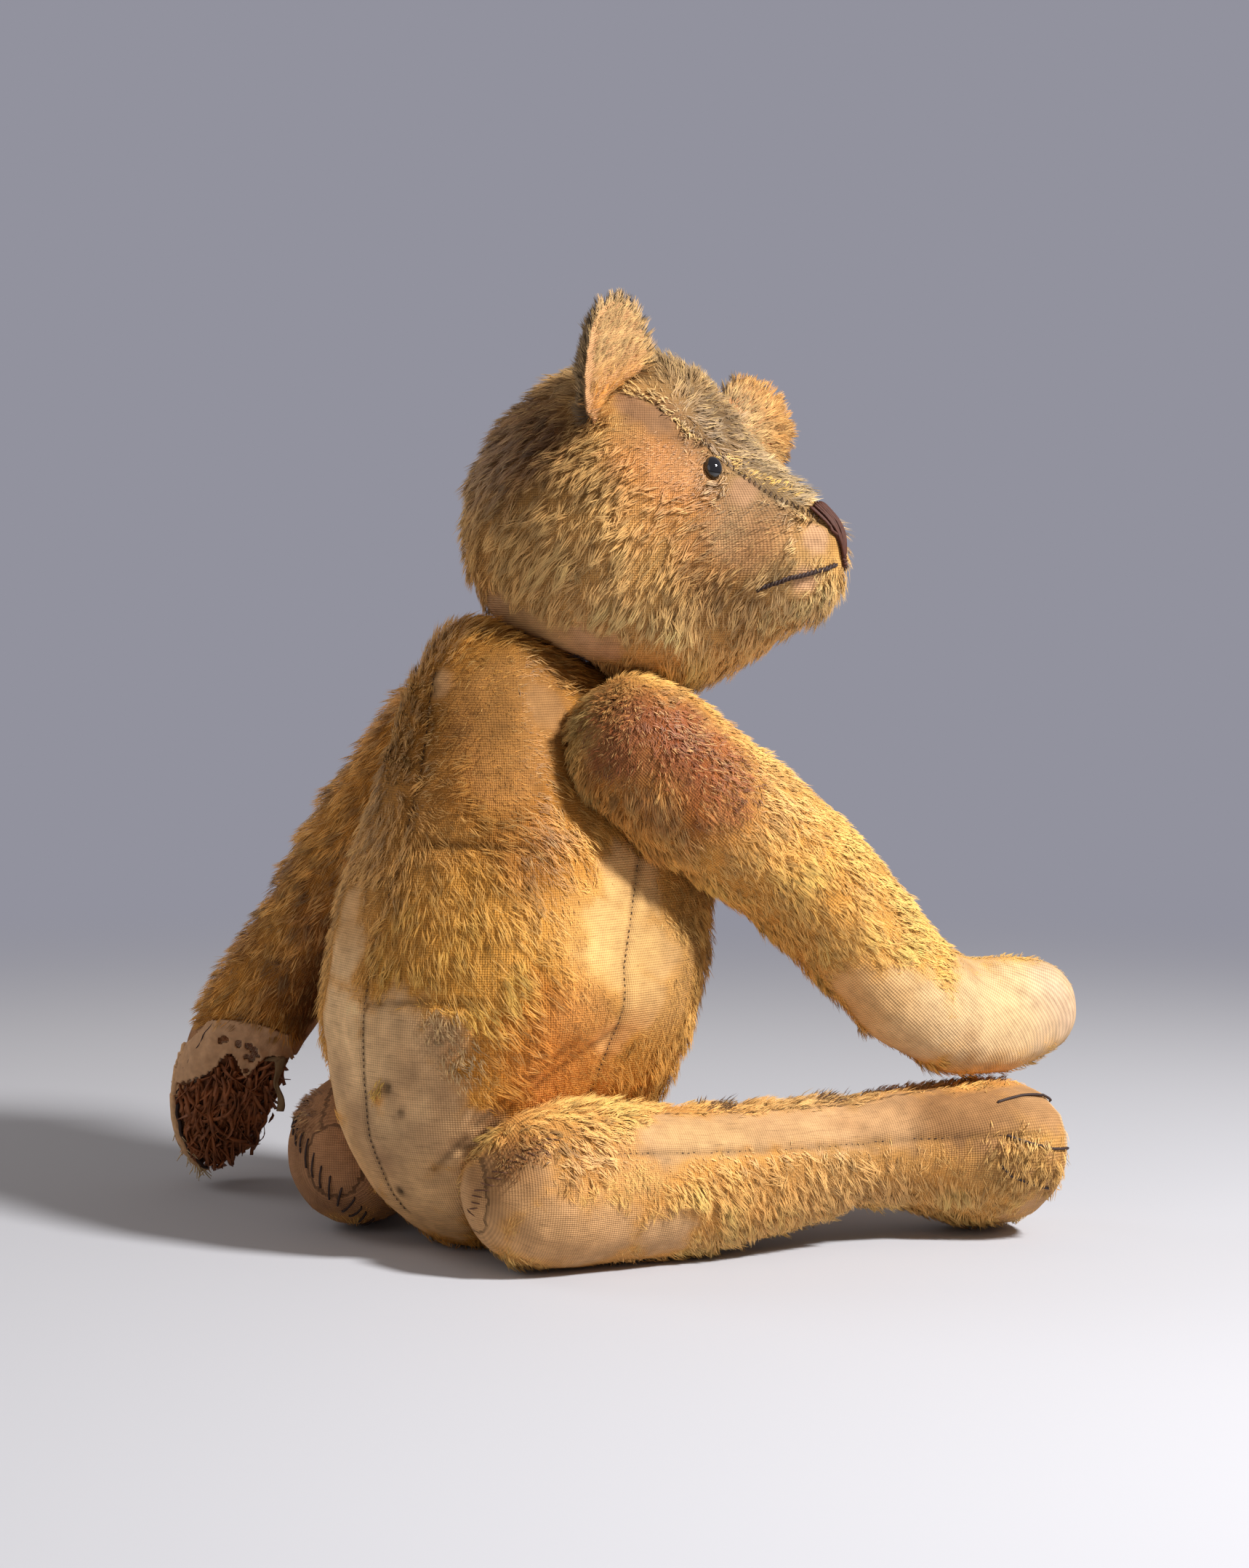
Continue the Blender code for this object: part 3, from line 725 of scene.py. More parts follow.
def dressBag(bag, places, bare, cloth, pile, look):
    # paints the cloth, then grows a short nap and longer locks wherever they aren't worn away
    mesh = skins[bag].data
    felt = np.zeros(len(places))
    for pad in [n for n in bagOf[bag]["nodes"] if "pad" in n or "sole" in n]:
        # the fit is by nearness to the pad's own solid
        tree = BVHTree.FromObject(bpy.data.objects[pad], bpy.context.evaluated_depsgraph_get())
        away = np.array([tree.find_nearest(p)[3] for p in places])
        felt = np.maximum(felt, 1 - smoothStep(away, 1.6 * mm, 2.6 * mm))
    bare = np.maximum(bare, felt)
    rough = 0.30 * noiseAt(places, 9, 11) + 0.22 * noiseAt(places, 3, 12)
    worn = np.clip(bare + rough * np.clip(bare * 3, 0, 1) * (1.2 - bare), 0, 1)
    bald = smoothStep(worn, 0.26, 0.74)
    patchy = noiseAt(places, 14, 3, 2)
    fine = noiseAt(places, 4, 23, 2)
    # painted shade: the listed spots, where the light falls less, are painted darker on the cloth and the
    # pile
    paintedShade = 1 - spots(places, look.get("paintedShade", ())) * look.get("paintedShadeStrength", 0.35)
    hair = np.clip(paint(places, *pile) * (paintedShade * (1 + 0.22 * patchy + 0.14 * fine))[:, None], 0, 0.92)
    woven = paint(places, *cloth) * (paintedShade * (1 + 0.16 * patchy + 0.12 * fine))[:, None]
    feltTint = np.array(look.get("felt", colour(214, 176, 132))) * (1 + 0.12 * patchy + 0.10 * fine)[:, None]
    woven = woven * (1 - felt[:, None]) + feltTint * felt[:, None]
    nap = smoothStep(spots(places, look["short"]), 0.25, 0.7) if look.get("short") else np.zeros(len(places))
    # painted shade: the cloth under the pile is painted darker than the hair, as the shade deep in the pile
    under = hair * np.array((0.80, 0.68, 0.54))
    under = under * (1 - nap[:, None] * 0.35) + woven * nap[:, None] * 0.35
    tint = under * (1 - bald[:, None]) + woven * bald[:, None]
    # real stains, and painted shade where holes and the torn opening are painted near black
    for mask, tone in look.get("stainsAndShade", ()):
        tint = tint * (1 - mask[:, None]) + np.array(tone) * mask[:, None]
    # the cloth is painted darker along the seams: painted shade in the seam creases
    setColours(mesh, "tint", np.clip(tint * (1 - 0.45 * seamShade[bag])[:, None], 0, 1))
    coat(mesh, backing)
    skin = skins[bag]
    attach(skin, bag)
    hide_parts(*[n for n in bagOf[bag]["nodes"] if "stuffing" not in n])

    cover = (1 - bald) ** 1.6 * smoothStep(places[:, 2], 1.5 * mm, 5 * mm)
    for line, reach in look.get("parted", ()):
        far, _ = distanceTo(places, line)
        cover *= smoothStep(far, reach * mm, (reach + 1.5) * mm)
    for joint in frame["joints"]:
        if bag in (joint["child"], joint["parent"]):
            offset = places - np.array(joint["pos_m"])
            flat = np.abs(offset @ np.array(joint["axis"])) < jointArea["flat"] * mm
            cover[(np.linalg.norm(offset, axis=1) < jointArea["held"] * mm) & flat] = 0
    longer = np.ones(len(places))
    for centre, radius, factor in look.get("longer", ()):
        far = np.linalg.norm(places - np.array(centre) * mm, axis=1)
        longer += (factor - 1) * np.exp(-(far / (radius * mm)) ** 2)
    thin = 1 - 0.55 * smoothStep(worn, 0.05, 0.55)
    comb = blendedDirections(places, look["combs"])
    # painted shade at the roots of the hair and painted highlight at its tips
    shadedRoot = np.clip(hair * np.array((0.70, 0.54, 0.38)), 0, 1)
    shared = dict(look, comb=comb, rootTint=shadedRoot, tipTint=np.clip(hair * 1.2, 0, 1))
    rng = np.random.default_rng(look["seed"])
    layers = {
        "Nap": dict(count=look["naps"], template=spikeTemplate(), width=0.46, perClump=3, pull=0.15,
                    pale=0.12, density=cover * (0.75 + 0.45 * patchy), lift=22 + 10 * fine, shade=0.26,
                    length=np.clip(look["long"] * 0.42 * thin * longer, 1.6, 5)),
        "Locks": dict(count=look["locks"], template=tuftTemplate(1), width=0.40,
                      density=cover * np.clip(0.75 + 1.0 * patchy, 0.05, 1.5) * (1 - 0.97 * nap) * thin,
                      lift=look["rise"] + 10 * patchy,
                      length=np.clip(look["long"] * longer * (1 + 0.25 * patchy) * (1 - 0.4 * nap) * thin,
                                     2.2, 14)),
    }
    for number, (line, reach, count, long, tone) in enumerate(look.get("tufts", ()), 1):
        # hairs left standing where the pile is gone
        near, _ = distanceTo(places, line)
        layers[f"Tufts{number}"] = dict(
            count=count, template=tuftTemplate(1), width=0.45, perClump=5,
            density=np.exp(-(near / (reach * mm)) ** 2),
            lift=np.full(len(places), 30.0), spread=14, swing=30, clumpSwing=34,
            length=np.full(len(places), float(long)),
            # painted shade at the roots
            rootTint=np.tile(np.array(tone) * np.array((0.78, 0.66, 0.5)), (len(places), 1)),
            tipTint=np.tile(tone, (len(places), 1)))
    for layer, own in layers.items():
        grown = growPile(bag + layer, skin, dict(shared, **own), pileFinish, rng)
        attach(grown, bag)


def around(centre, radius):
    # cloth coordinates that run round the bag and up it
    def weave(places, upright):
        offset = places - np.array(centre) * mm
        turn = np.arctan2(offset[:, 0], offset[:, 1])
        return np.stack([turn * radius * mm, places[:, 2], np.zeros(len(places))], axis=1)
    return weave


def lengthways(root, way, radius):
    # cloth coordinates that run along a limb and round it
    root, way = np.array(root), np.array(way)
    first = np.array(Vector(way).cross(up).normalized())
    second = np.cross(way, first)

    def weave(places, upright):
        offset = places - root
        one, other = offset @ first, offset @ second
        turned = np.stack([offset @ way, np.arctan2(one, other) * radius * mm, np.zeros(len(places))],
                          axis=1)
        end = np.abs(upright @ way) > 0.86
        turned[end] = np.stack([one, other, np.zeros(len(places))], axis=1)[end]
        return turned
    return weave


pileCommon = dict(perClump=9, clumpSwing=23, clumpLift=9, clumpShade=0.21, swing=14, spread=9, pull=0.56,
                  shade=0.12, width=0.50, pale=0.20, paleTint=cream, softness=2.2)
drop = Vector((0, 0, -1))

# body
print("body")
bodySeams = [
    [(4, 14, 236), (-4, 30, 195), (-5, 42, 156), (-2, 50, 125), (-2, 55, 95), (0, 52, 64), (1, 41, 30),
     (0, 30, 16)],
    [(-46, -58, 225), (-56, -46, 165), (-72, -24, 118), (-68, -22, 85), (-50, -22, 40), (-30, -20, 12)],
    [(46, -58, 225), (56, -46, 165), (72, -24, 118), (68, -22, 85), (50, -22, 40), (30, -20, 12)],
    [(0, -110, 225), (0, -114, 165), (0, -112, 118), (0, -100, 70), (0, -70, 25), (0, -44, 8)],
]
bodyDarts = [[(-2, 54, 104), (-26, 48, 107), (-52, 30, 107)],
             [(-14, 36, 168), (-34, 24, 167), (-54, 8, 166)]]
hipFolds = [[(-41, 33, 46), (-50, 20, 62), (-62, 2, 76), (-70, -20, 90)],
            [(-46, 31, 58), (-56, 16, 74), (-66, -2, 88)],
            [(-28, 40, 38), (-42, 34, 52)]]


places = finishBag("body", around((0, -30, 0), 72),
                   [(inMetres(g), 1.1, 2.2, 0.3) for g in bodySeams]
                   + [(inMetres(g), 1.3, 1.7, 0.2) for g in bodyDarts]
                   + [(inMetres(g), 1.3, 3.2, 0.3) for g in hipFolds],
                   dents=[((-14, 51, 72), 1.6, 1.8), ((-20, 49, 62), 1.0, 0.8), ((-6, 38, 28), 1.2, 0.9)])
bodyBare = spots(places, [
    ((-18, 51, 88), 25), ((-27, 47, 68), 25), ((-14, 48, 45), 26), ((-34, 40, 52), 20), ((-38, 42, 92), 13),
    ((0, 53, 80), 17), ((2, 50, 56), 17), ((-8, 37, 24), 22), ((-28, 32, 28), 18), ((-45, 31, 55), 14),
    ((16, 52, 92), 22), ((17, 50, 72), 24), ((18, 46, 122), 17), ((14, 42, 40), 24), ((22, 40, 140), 11),
    ((-60, -36, 150), 19), ((-68, -24, 129), 22), ((-69, -42, 122), 14), ((-71, -33, 104), 15),
    ((-70, -22, 90), 12), ((-14, 28, 12), 18), ((6, 30, 12), 16), ((-34, 26, 16), 14), ((-46, 20, 16), 12),
    ((40, 30, 60), 18), ((-41, -12, 222), 12), ((-3, 16, 230), 8), ((30, -90, 60), 24),
    ((0, -108, 150), 22)])
# painted shade: the holes are painted near black
holeShade = spots(places, [((-14, 51, 72), 2.6), ((-20, 49, 62), 1.8), ((-6, 38, 28), 2.4)])
smudge = spots(places, [((-4, 45, 40), 7), ((17, 50, 73), 12), ((8, 52, 60), 9)]) * 0.45
dressBag("body", places, bodyBare,
         cloth=(peach, [((-24, 46, 74), 40, colour(198, 154, 108), 1.0),
                        ((-10, 50, 50), 22, colour(180, 144, 104), 0.7),
                        ((-24, 34, 28), 24, colour(206, 162, 112), 0.9),
                        ((-66, -4, 92), 34, colour(214, 138, 70), 1.0),
                        ((-34, 6, 210), 34, colour(222, 152, 92), 1.0),
                        ((17, 48, 92), 36, colour(250, 204, 148), 0.95),
                        ((-68, -24, 130), 36, colour(234, 182, 114), 1),
                        ((-40, 0, 220), 34, colour(214, 156, 96), 1.0)]),
         pile=(gold, [((-40, 10, 205), 45, colour(220, 158, 76), 0.9),
                      ((-20, 30, 175), 30, colour(196, 138, 66), 0.7),
                      ((-45, 30, 130), 40, colour(240, 182, 90), 0.9),
                      ((-68, -4, 96), 22, colour(176, 104, 38), 1.0), ((-64, 8, 80), 26, amber, 0.9),
                      ((-70, -50, 110), 45, colour(236, 184, 104), 0.9),
                      ((-52, 10, 166), 18, colour(160, 104, 48), 0.7),
                      ((30, 30, 150), 50, colour(232, 178, 104), 0.8)]),
         look=dict(pileCommon, locks=31000, naps=38000, long=8.0, rise=17, seed=3,
                   # painted shade on the shoulders, the upper chest, the upper left side and the belly under
                   # the right arm
                   paintedShade=[((-30, -10, 232), 62), ((0, -60, 200), 70), ((40, 0, 210), 60),
                        ((-80, -70, 130), 44)],
                   paintedShadeStrength=0.48, stainsAndShade=[(smudge, colour(132, 92, 66)), (holeShade, colour(34, 20, 12))],
                   tufts=[(inMetres([(-10, 51, 73), (-9, 51, 70)]), 1.6, 30, 4.0, colour(232, 190, 90)),
                          (inMetres([(-38, 42, 98), (-44, 38, 84)]), 6, 300, 5.5, colour(206, 170, 122))],
                   short=[((-66, -4, 96), 20), ((-64, 6, 76), 14), ((-34, 4, 218), 30), ((-36, 10, 198), 20),
                          ((-66, -22, 130), 30), ((-56, -10, 66), 24), ((-70, -48, 112), 26)],
                   longer=[((-40, 30, 130), 34, 1.25), ((-20, 34, 190), 24, 1.1)],
                   combs=[((-20, 10, 215), 40, right), ((-45, 25, 130), 45, right * 0.55 + drop * 0.8),
                          ((-60, 0, 75), 32, right * 0.9 + drop * 0.35),
                          ((30, 40, 120), 45, drop + right * -0.25),
                          ((-60, -60, 110), 40, drop + right * 0.2), ((0, -100, 120), 70, drop),
                          ((70, -20, 110), 50, drop)]))

# head
print("head")
mouthGuide = [(95, 31, 19), (101, 29, 22), (107, 23, 26), (112, 14, 29), (115, 4, 32)]


def lifted(bag, guide, lift, step=1.0):
    line, upright = alongSurface(trees[bag], guide, step)
    return [p + n * lift * mm for p, n in zip(line, upright)], upright


def onHead(line):
    # points listed in the head's frame, moved onto its cloth and evenly spaced
    return lifted("head", headLine(line), 0, 1)[0]


headSeams = [
    headLine([(118, 10, 51), (98, 18, 62), (80, 22, 76), (66, 34, 96), (44, 44, 112), (20, 42, 112),
              (-10, 30, 98), (-34, 12, 70)]),
    headLine([(118, -10, 51), (98, -18, 62), (80, -22, 76), (66, -34, 96), (44, -44, 112), (20, -42, 112),
              (-10, -30, 98), (-34, -12, 70)]),
    headLine([(117, 0, 22), (96, 0, 6), (70, 0, -10), (40, 0, -20)]),
]
places = finishBag("head", around((-30, -72, 0), 58), [(g, 0.9, 1.8, 0.25) for g in headSeams],
                   dents=headSpots([((71, s * 24, 68), 6, 1.6) for s in (1, -1)]))
headBare = spots(places, headSpots([
    ((59, -38, 94), 13), ((46, -42, 98), 11), ((-12, -34, 12), 15), ((2, -39, 7), 15),
    ((17, -37, 0), 15), ((26, -40, 4), 13), ((34, -38, 2), 10), ((85, -21, 61), 8),
    ((112, -12, 42), 8), ((108, -14, 26), 8)]))
# painted shade: the hole is painted near black
neckHoleShade = spots(places, headSpots([((29, -42, 6), 2.6)]))
headMarks = spots(places, headSpots([((40, -39, 100), 2.2), ((68, -33, 20), 9),
                                     ((62, -38, 10), 7)])) * 0.7
dressBag("head", places, headBare,
         cloth=(colour(214, 164, 120), headSpots([((0, -50, -4), 30, colour(208, 158, 102), 0.9),
                                                  ((58, -40, 94), 28, colour(158, 116, 80), 1.0)])),
         pile=(colour(226, 180, 112), headSpots([
             ((4, -50, 84), 26, colour(136, 98, 62), 1.0),
             ((-18, -26, 96), 30, mouse, 0.95), ((-14, -44, 64), 20, mouse, 0.6),
             ((-25, -30, 20), 26, colour(206, 150, 80), 0.8),
             ((30, -60, 20), 34, colour(238, 190, 122), 0.8),
             ((66, -40, 70), 24, colour(228, 160, 94), 0.9),
             ((84, -30, 44), 22, colour(200, 148, 94), 0.9),
             ((84, -34, 12), 16, colour(140, 100, 62), 0.8),
             ((108, -20, 22), 16, colour(234, 196, 138), 0.9),
             ((60, -30, -14), 30, colour(246, 204, 136), 1.0),
             ((90, 0, 70), 30, colour(200, 174, 134), 1.0),
             ((69, -10, 88), 24, colour(160, 134, 100), 1.0),
             ((36, 0, 118), 34, colour(182, 152, 110), 0.9)])),
         look=dict(pileCommon, locks=30000, naps=32000, long=8.5, rise=24, seed=5, pull=0.66,
                   # painted shade on the top of the head and the brow above the muzzle
                   paintedShade=headSpots([((60, 10, 110), 64), ((92, -10, 60), 34)]), paintedShadeStrength=0.48,
                   stainsAndShade=[(headMarks, colour(112, 76, 48)), (neckHoleShade, colour(44, 28, 20))],
                   tufts=[(onHead([(78, -21, 76), (84, -17, 71), (99, -9, 65), (108, -6, 60)]), 2.4, 190,
                           3.0, colour(214, 172, 90)),
                          (onHead([(44, -40, 108), (56, -34, 102), (66, -32, 92), (70, -30, 84)]), 2.4,
                           240, 4.0, colour(206, 168, 108)),
                          (headLine([(114, -6, 22), (108, -12, 14), (96, -16, 8)]),
                           5.0, 420, 5.5, colour(238, 204, 138))],
                   parted=[(onHead([(f, sign * w, h) for f, w, h in mouthGuide]), 1.0)
                           for sign in (1, -1)]
                          + [(headLine([(70, -24, 69), (72, -24, 66)]), 5.0)]
                          + [(onHead([(108, share, 57), (124, share * 0.9, 47), (120, share * 0.25, 34)]),
                              1.8) for share in (-9, -6, -3, 0, 3, 6, 9)],
                   short=headSpots([((64, -40, 76), 19), ((90, -26, 46), 21),
                                    ((60, -44, 92), 22), ((8, -52, -6), 20), ((88, 28, 46), 24)]),
                   longer=headSpots([((10, -56, 50), 34, 1.15), ((74, 0, 88), 34, 0.7)]),
                   combs=headSpots([((10, -55, 50), 40, right * -0.55 + drop * 0.85),
                                    ((70, -38, 70), 22, right * -0.9 + drop * 0.35),
                                    ((90, -28, 40), 22, right * -0.8 + drop * 0.3),
                                    ((100, -14, 16), 20, drop + right * -0.2),
                                    ((40, 0, 116), 30, headAhead * -0.7 + up * 0.3 + right * 0.4),
                                    ((82, 0, 80), 26, headAhead * 0.8 + headLeft * 0.7),
                                    ((-30, 0, 60), 40, drop), ((20, 56, 50), 50, drop - headAhead * 0.5),
                                    ((60, 0, -14), 40, drop - headAhead * 0.2)])))

# arms
print("arms")
alongRight = (armPoint("right", 110, 110) - armPoint("right", 20, 20)).normalized()
alongLeft = (armPoint("left", -36, 190, 44) - armPoint("left", 0, 0, 0)).normalized()
innerArm = [(30, -8, 20), (70, 30, 20), (110, 82, 22), (140, 104, 26), (176, 106, 28)]
places = finishBag("right_arm", lengthways(armPoint("right", 20, 24), alongRight, 24),
                   [(armLine("right", innerArm), 0.0, 2, 0)])
rightBare = np.maximum(
    spots(places, armSpots("right",
                           [((130, 128, 30), 27), ((155, 128, 30), 28), ((176, 126, 26), 26),
                            ((150, 128, -6), 30)])),
    np.maximum(0.42 * spots(places, [((-64, -18, 220), 13), ((-73, -19, 208), 13), ((-81, -42, 217), 12),
                                     ((-90, -56, 202), 12), ((-93, -62, 190), 9), ((-80, -26, 202), 10)]),
               spots(places, [((-111, -113, 102), 17), ((-113, -122, 94), 18), ((-116, -132, 104), 15),
                              ((-118, -140, 94), 22), ((-116, -138, 84), 20)])))
armDirt = spots(places,
                [((-127, -163, 84), 5), ((-127, -165, 76), 4), ((-114, -150, 106), 8),
                 ((-118, -170, 108), 7)]) * 0.5
dressBag("right_arm", places, rightBare,
         cloth=(bone, [((-72, -22, 210), 32, colour(144, 92, 58), 1.0),
                       ((-92, -56, 200), 20, colour(146, 82, 46), 1.0),
                       ((-82, -42, 216), 14, colour(148, 86, 54), 0.9),
                       ((-100, -66, 190), 18, colour(158, 88, 46), 0.9),
                       ((-110, -112, 104), 26, colour(216, 164, 104), 0.9),
                       ((-116, -127, 94), 20, colour(218, 172, 116), 0.8),
                       ((-131, -212, 92), 22, colour(206, 172, 140), 0.9),
                       ((-122, -176, 90), 34, colour(218, 180, 132), 0.8)]),
         pile=(colour(240, 186, 104), [
             ((-72, -20, 210), 28, colour(138, 92, 54), 1.0),
             ((-88, -44, 204), 28, colour(150, 86, 44), 1.0),
             ((-92, -58, 188), 20, colour(160, 84, 40), 0.9),
             ((-82, -30, 184), 18, colour(170, 118, 60), 0.9),
             ((-52, -17, 212), 16, colour(206, 170, 104), 1.0),
             ((-60, -24, 184), 16, colour(190, 140, 72), 0.9),
             ((-104, -92, 150), 26, colour(236, 178, 92), 0.8),
             ((-100, -80, 190), 24, colour(220, 172, 104), 0.7)]),
         look=dict(pileCommon, locks=20500, naps=22000, long=6.5, rise=18, seed=8,
                   stainsAndShade=[(armDirt, colour(150, 104, 62))],
                   short=[((-74, -20, 210), 22), ((-88, -50, 206), 22), ((-92, -62, 188), 14)]
                         + armSpots("right", [((140, 126, 28), 34)]),
                   tufts=[(inMetres([(-50, -12, 218), (-47, -10, 200), (-52, -16, 188)]),
                           5, 420, 7.0, colour(206, 170, 104)),
                          (inMetres([(-74, -22, 212), (-84, -40, 206), (-92, -60, 194)]),
                           11, 1500, 4.4, colour(150, 88, 46)),
                          (inMetres([(-66, -22, 226), (-90, -50, 214)]), 7, 500, 4.4, colour(178, 122, 66))],
                   longer=armSpots("right", [((0, 40, 0), 26, 1.3), ((80, 90, 0), 30, 1.15)]),
                   combs=armSpots("right", [((40, 40, 0), 60, alongRight + drop * 0.25),
                                            ((-20, 10, 0), 22, right * -0.6 + drop * 0.8),
                                            ((150, 126, 10), 50, right + drop * 0.2)])))

places = finishBag("left_arm", lengthways(armPoint("left", 0, 0, 0), alongLeft, 23), [])
seen = normals(skins["left_arm"].data) @ np.array(viewerSide)
pawAcross = places @ np.array(right) / mm
pawHeight = places[:, 2] / mm
opening = np.array([smoothStep(tornTop(x) - z, -0.6, 1.0) * smoothStep(x - rimAcross(z), 0.3, 2.0)
                    for x, z in zip(pawAcross, pawHeight)])
opening *= smoothStep(seen, -0.45, -0.1) * (pawHeight > 3.5) * (pawAcross < -60)
setPoints(skins["left_arm"].data, places - normals(skins["left_arm"].data) * (opening * 5.5 * mm)[:, None])
leftBare = np.maximum(opening, spots(places, armSpots("left", [
    ((-10, 150, 20), 18), ((-14, 100, 5), 20), ((-36, 192, 30), 30), ((-36, 210, 44), 30)])))
facing = smoothStep(seen, -0.5, -0.2) * (pawAcross < -60)
underFelt = facing * np.array([tornTop(x) - 2 < z < 77.5 - 0.0125 * (x + 100) ** 2
                               for x, z in zip(pawAcross, pawHeight)])
eaten = facing * np.max([np.exp(-((pawAcross - x) ** 2 + (pawHeight - z) ** 2) / (size * 1.5) ** 2)
                         for x, z, size in mothHoles], axis=0)
leftBare = np.maximum(leftBare, underFelt)
leftBare = np.maximum(leftBare,
                      spots(places, [((172, 18, 64), 15), ((177, 18, 48), 18), ((180, 10, 30), 18)]))
dressBag("left_arm", places, leftBare,
         cloth=(colour(196, 142, 96), armSpots("left", [((-40, 190, 44), 40, brownCloth, 1.0)])),
         # the dark brown patches on the inner side, next to the body, are painted shade; the paler gold on
         # the outer side is painted light
         pile=(colour(212, 150, 68), armSpots("left", [((-30, 80, 44), 50, colour(226, 168, 86), 0.9),
                                                       ((0, 100, 4), 46, colour(112, 64, 28), 1.0),
                                                       ((-4, 150, 14), 36, colour(100, 58, 26), 1.0),
                                                       ((-20, 60, 30), 12, colour(150, 98, 44), 0.8),
                                                       ((-34, 120, 40), 14, colour(160, 108, 50), 0.8)])),
         look=dict(pileCommon, locks=15500, naps=17000, long=8.5, rise=26, seed=9, clumpShade=0.36,
                   # painted shade: the torn opening is painted near black between the shavings
                   stainsAndShade=[(opening, colour(48, 24, 12)), (eaten, colour(104, 56, 28))],
                   felt=colour(206, 178, 150),
                   combs=armSpots("left", [((-20, 90, 20), 90, alongLeft)])))

# legs
print("legs")
sideSeam = [(20, 32, 52), (60, 32, 50), (110, 30, 47), (150, 30, 46), (176, 40, 47), (200, 52, 49)]

for side, seed, locks, naps in (("right", 12, 20500, 21000), ("left", 13, 13500, 15000)):
    along, aside = legAxes(side)
    bag = side + "_leg"
    sunk = legLine(side, [(-10, 24, 52)] + sideSeam)
    places = finishBag(bag, lengthways(legPoint(side, 0, 8, 34), along, 28), [(sunk, 0.7, 1.8, 0.2)])
    dressBag(bag, places, spots(places, legSpots(side, [
        ((150, 22, 58), 20), ((180, 34, 60), 22), ((125, 22, 56), 16), ((40, 24, 54), 13),
        ((60, 22, 56), 14),
        ((50, 22, 56), 15), ((71, 22, 56), 15), ((93, 22, 57), 15), ((114, 22, 57), 16), ((138, 22, 58), 18),
        ((82, 22, 56), 15), ((104, 22, 56), 15), ((176, 44, 44), 13), ((8, 30, 14), 22), ((165, 30, 58), 22),
        ((-10, 26, 20), 20), ((-22, 20, 40), 16), ((-32, 10, 34), 20), ((-36, 0, 22), 22),
        ((40, 30, 12), 16), ((216, 20, 30), 34), ((206, 34, 58), 20)]
        + ([((-20, 10, 40), 42), ((0, -20, 30), 40), ((10, 10, 10), 36)] if side == "left" else []))),
             cloth=(colour(206, 160, 112), legSpots(side, [
                 ((176, 34, 54), 36, colour(150, 108, 68), 1.0),
                 ((208, 50, 40), 30, colour(176, 130, 84), 0.9),
                 ((-10, 24, 20), 34, colour(206, 156, 104), 0.8),
                 ((60, 30, 52), 30, colour(206, 162, 110), 0.8),
                 ((-28, 14, 48), 18, colour(158, 112, 68), 0.8)]
                 + ([((-10, 0, 30), 60, brownCloth, 1.0)] if side == "left" else []))),
             pile=(colour(244, 186, 108), legSpots(side, [((-24, 22, 52), 12, colour(150, 102, 58), 0.9),
                                                          ((-6, 28, 50), 18, colour(196, 148, 86), 0.6),
                                                          ((120, 10, 62), 40, colour(190, 156, 106), 0.7),
                                                          ((190, 44, 40), 24, colour(206, 166, 98), 0.8)])),
             look=dict(pileCommon, locks=locks, naps=naps, long=7.5, rise=15, seed=seed, pull=0.7,
                       longer=legSpots(side, [((60, 20, 12), 50, 1.15), ((130, 24, 16), 30, 1.2)]),
                       short=legSpots(side, [((26, 30, 44), 16), ((0, 28, 12), 26), ((180, 40, 44), 24)]),
                       tufts=[(legLine(side, [(-28, 20, 50), (-18, 22, 56)]), 6, 320, 4.5,
                               colour(150, 100, 54)),
                              (legLine(side, [(74, 2, 62), (124, 0, 60)]), 6, 170, 8.0, colour(88, 62, 44)),
                              (legLine(side, [(188, 44, 40), (190, 44, 30), (204, 46, 30)]),
                               8, 520, 6.0, colour(226, 176, 104))],
                       combs=legSpots(side, [((80, 20, 30), 90, drop * 0.85 + along * 0.5),
                                             ((190, 40, 40), 26, drop * 0.9 - along * 0.4),
                                             ((60, -20, 40), 50, drop + along * 0.4)])))


# threads, stitches and small parts
print("threads")


def threads(name, lines, radius, material, body, sides=1, replaces=(), flat=None, slot="thread"):
    # round threads, or flat shavings where flat gives a width and a thickness, one closed tube for each line
    curve = bpy.data.curves.new(name, "CURVE")
    curve.dimensions = "3D"
    curve.use_fill_caps = True
    curve.bevel_resolution = sides - 1
    profile = None
    if flat:
        outline = bpy.data.curves.new(name + "Profile", "CURVE")
        edge = outline.splines.new("POLY")
        edge.points.add(3)
        for point, (x, y) in zip(edge.points, ((-1, -1), (1, -1), (1, 1), (-1, 1))):
            point.co = (x * flat[0] / 2 * mm, y * flat[1] / 2 * mm, 0, 1)
        edge.use_cyclic_u = True
        profile = bpy.data.objects.new(name + "Profile", outline)
        curve.bevel_mode = "OBJECT"
        curve.bevel_object = profile
    else:
        curve.bevel_depth = radius * mm
    for index, line in enumerate(lines):
        spline = curve.splines.new("POLY")
        spline.points.add(len(line) - 1)
        for step, (point, place) in enumerate(zip(spline.points, line)):
            point.co = (place[0], place[1], max(place[2], (radius + clearOfFloor["cloth"]) * mm), 1)
            point.radius = 0.55 if step in (0, len(line) - 1) and not flat else 1
            point.tilt = index * 1.7 + step * 0.25 if flat else 0
    holder = bpy.data.objects.new(name, curve)
    scene.collection.objects.link(holder)
    mesh = bpy.data.meshes.new_from_object(holder.evaluated_get(bpy.context.evaluated_depsgraph_get()))
    bpy.data.objects.remove(holder)
    if profile:
        bpy.data.objects.remove(profile)
    bm = bmesh.new()
    bm.from_mesh(mesh)
    bmesh.ops.remove_doubles(bm, verts=bm.verts, dist=1e-6)
    bmesh.ops.recalc_face_normals(bm, faces=bm.faces)
    bm.to_mesh(mesh)
    bm.free()
    mesh.name = name
    mesh.shade_smooth()
    made = newObject(name, mesh, material)
    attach(made, body)
    if replaces:
        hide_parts(*replaces)


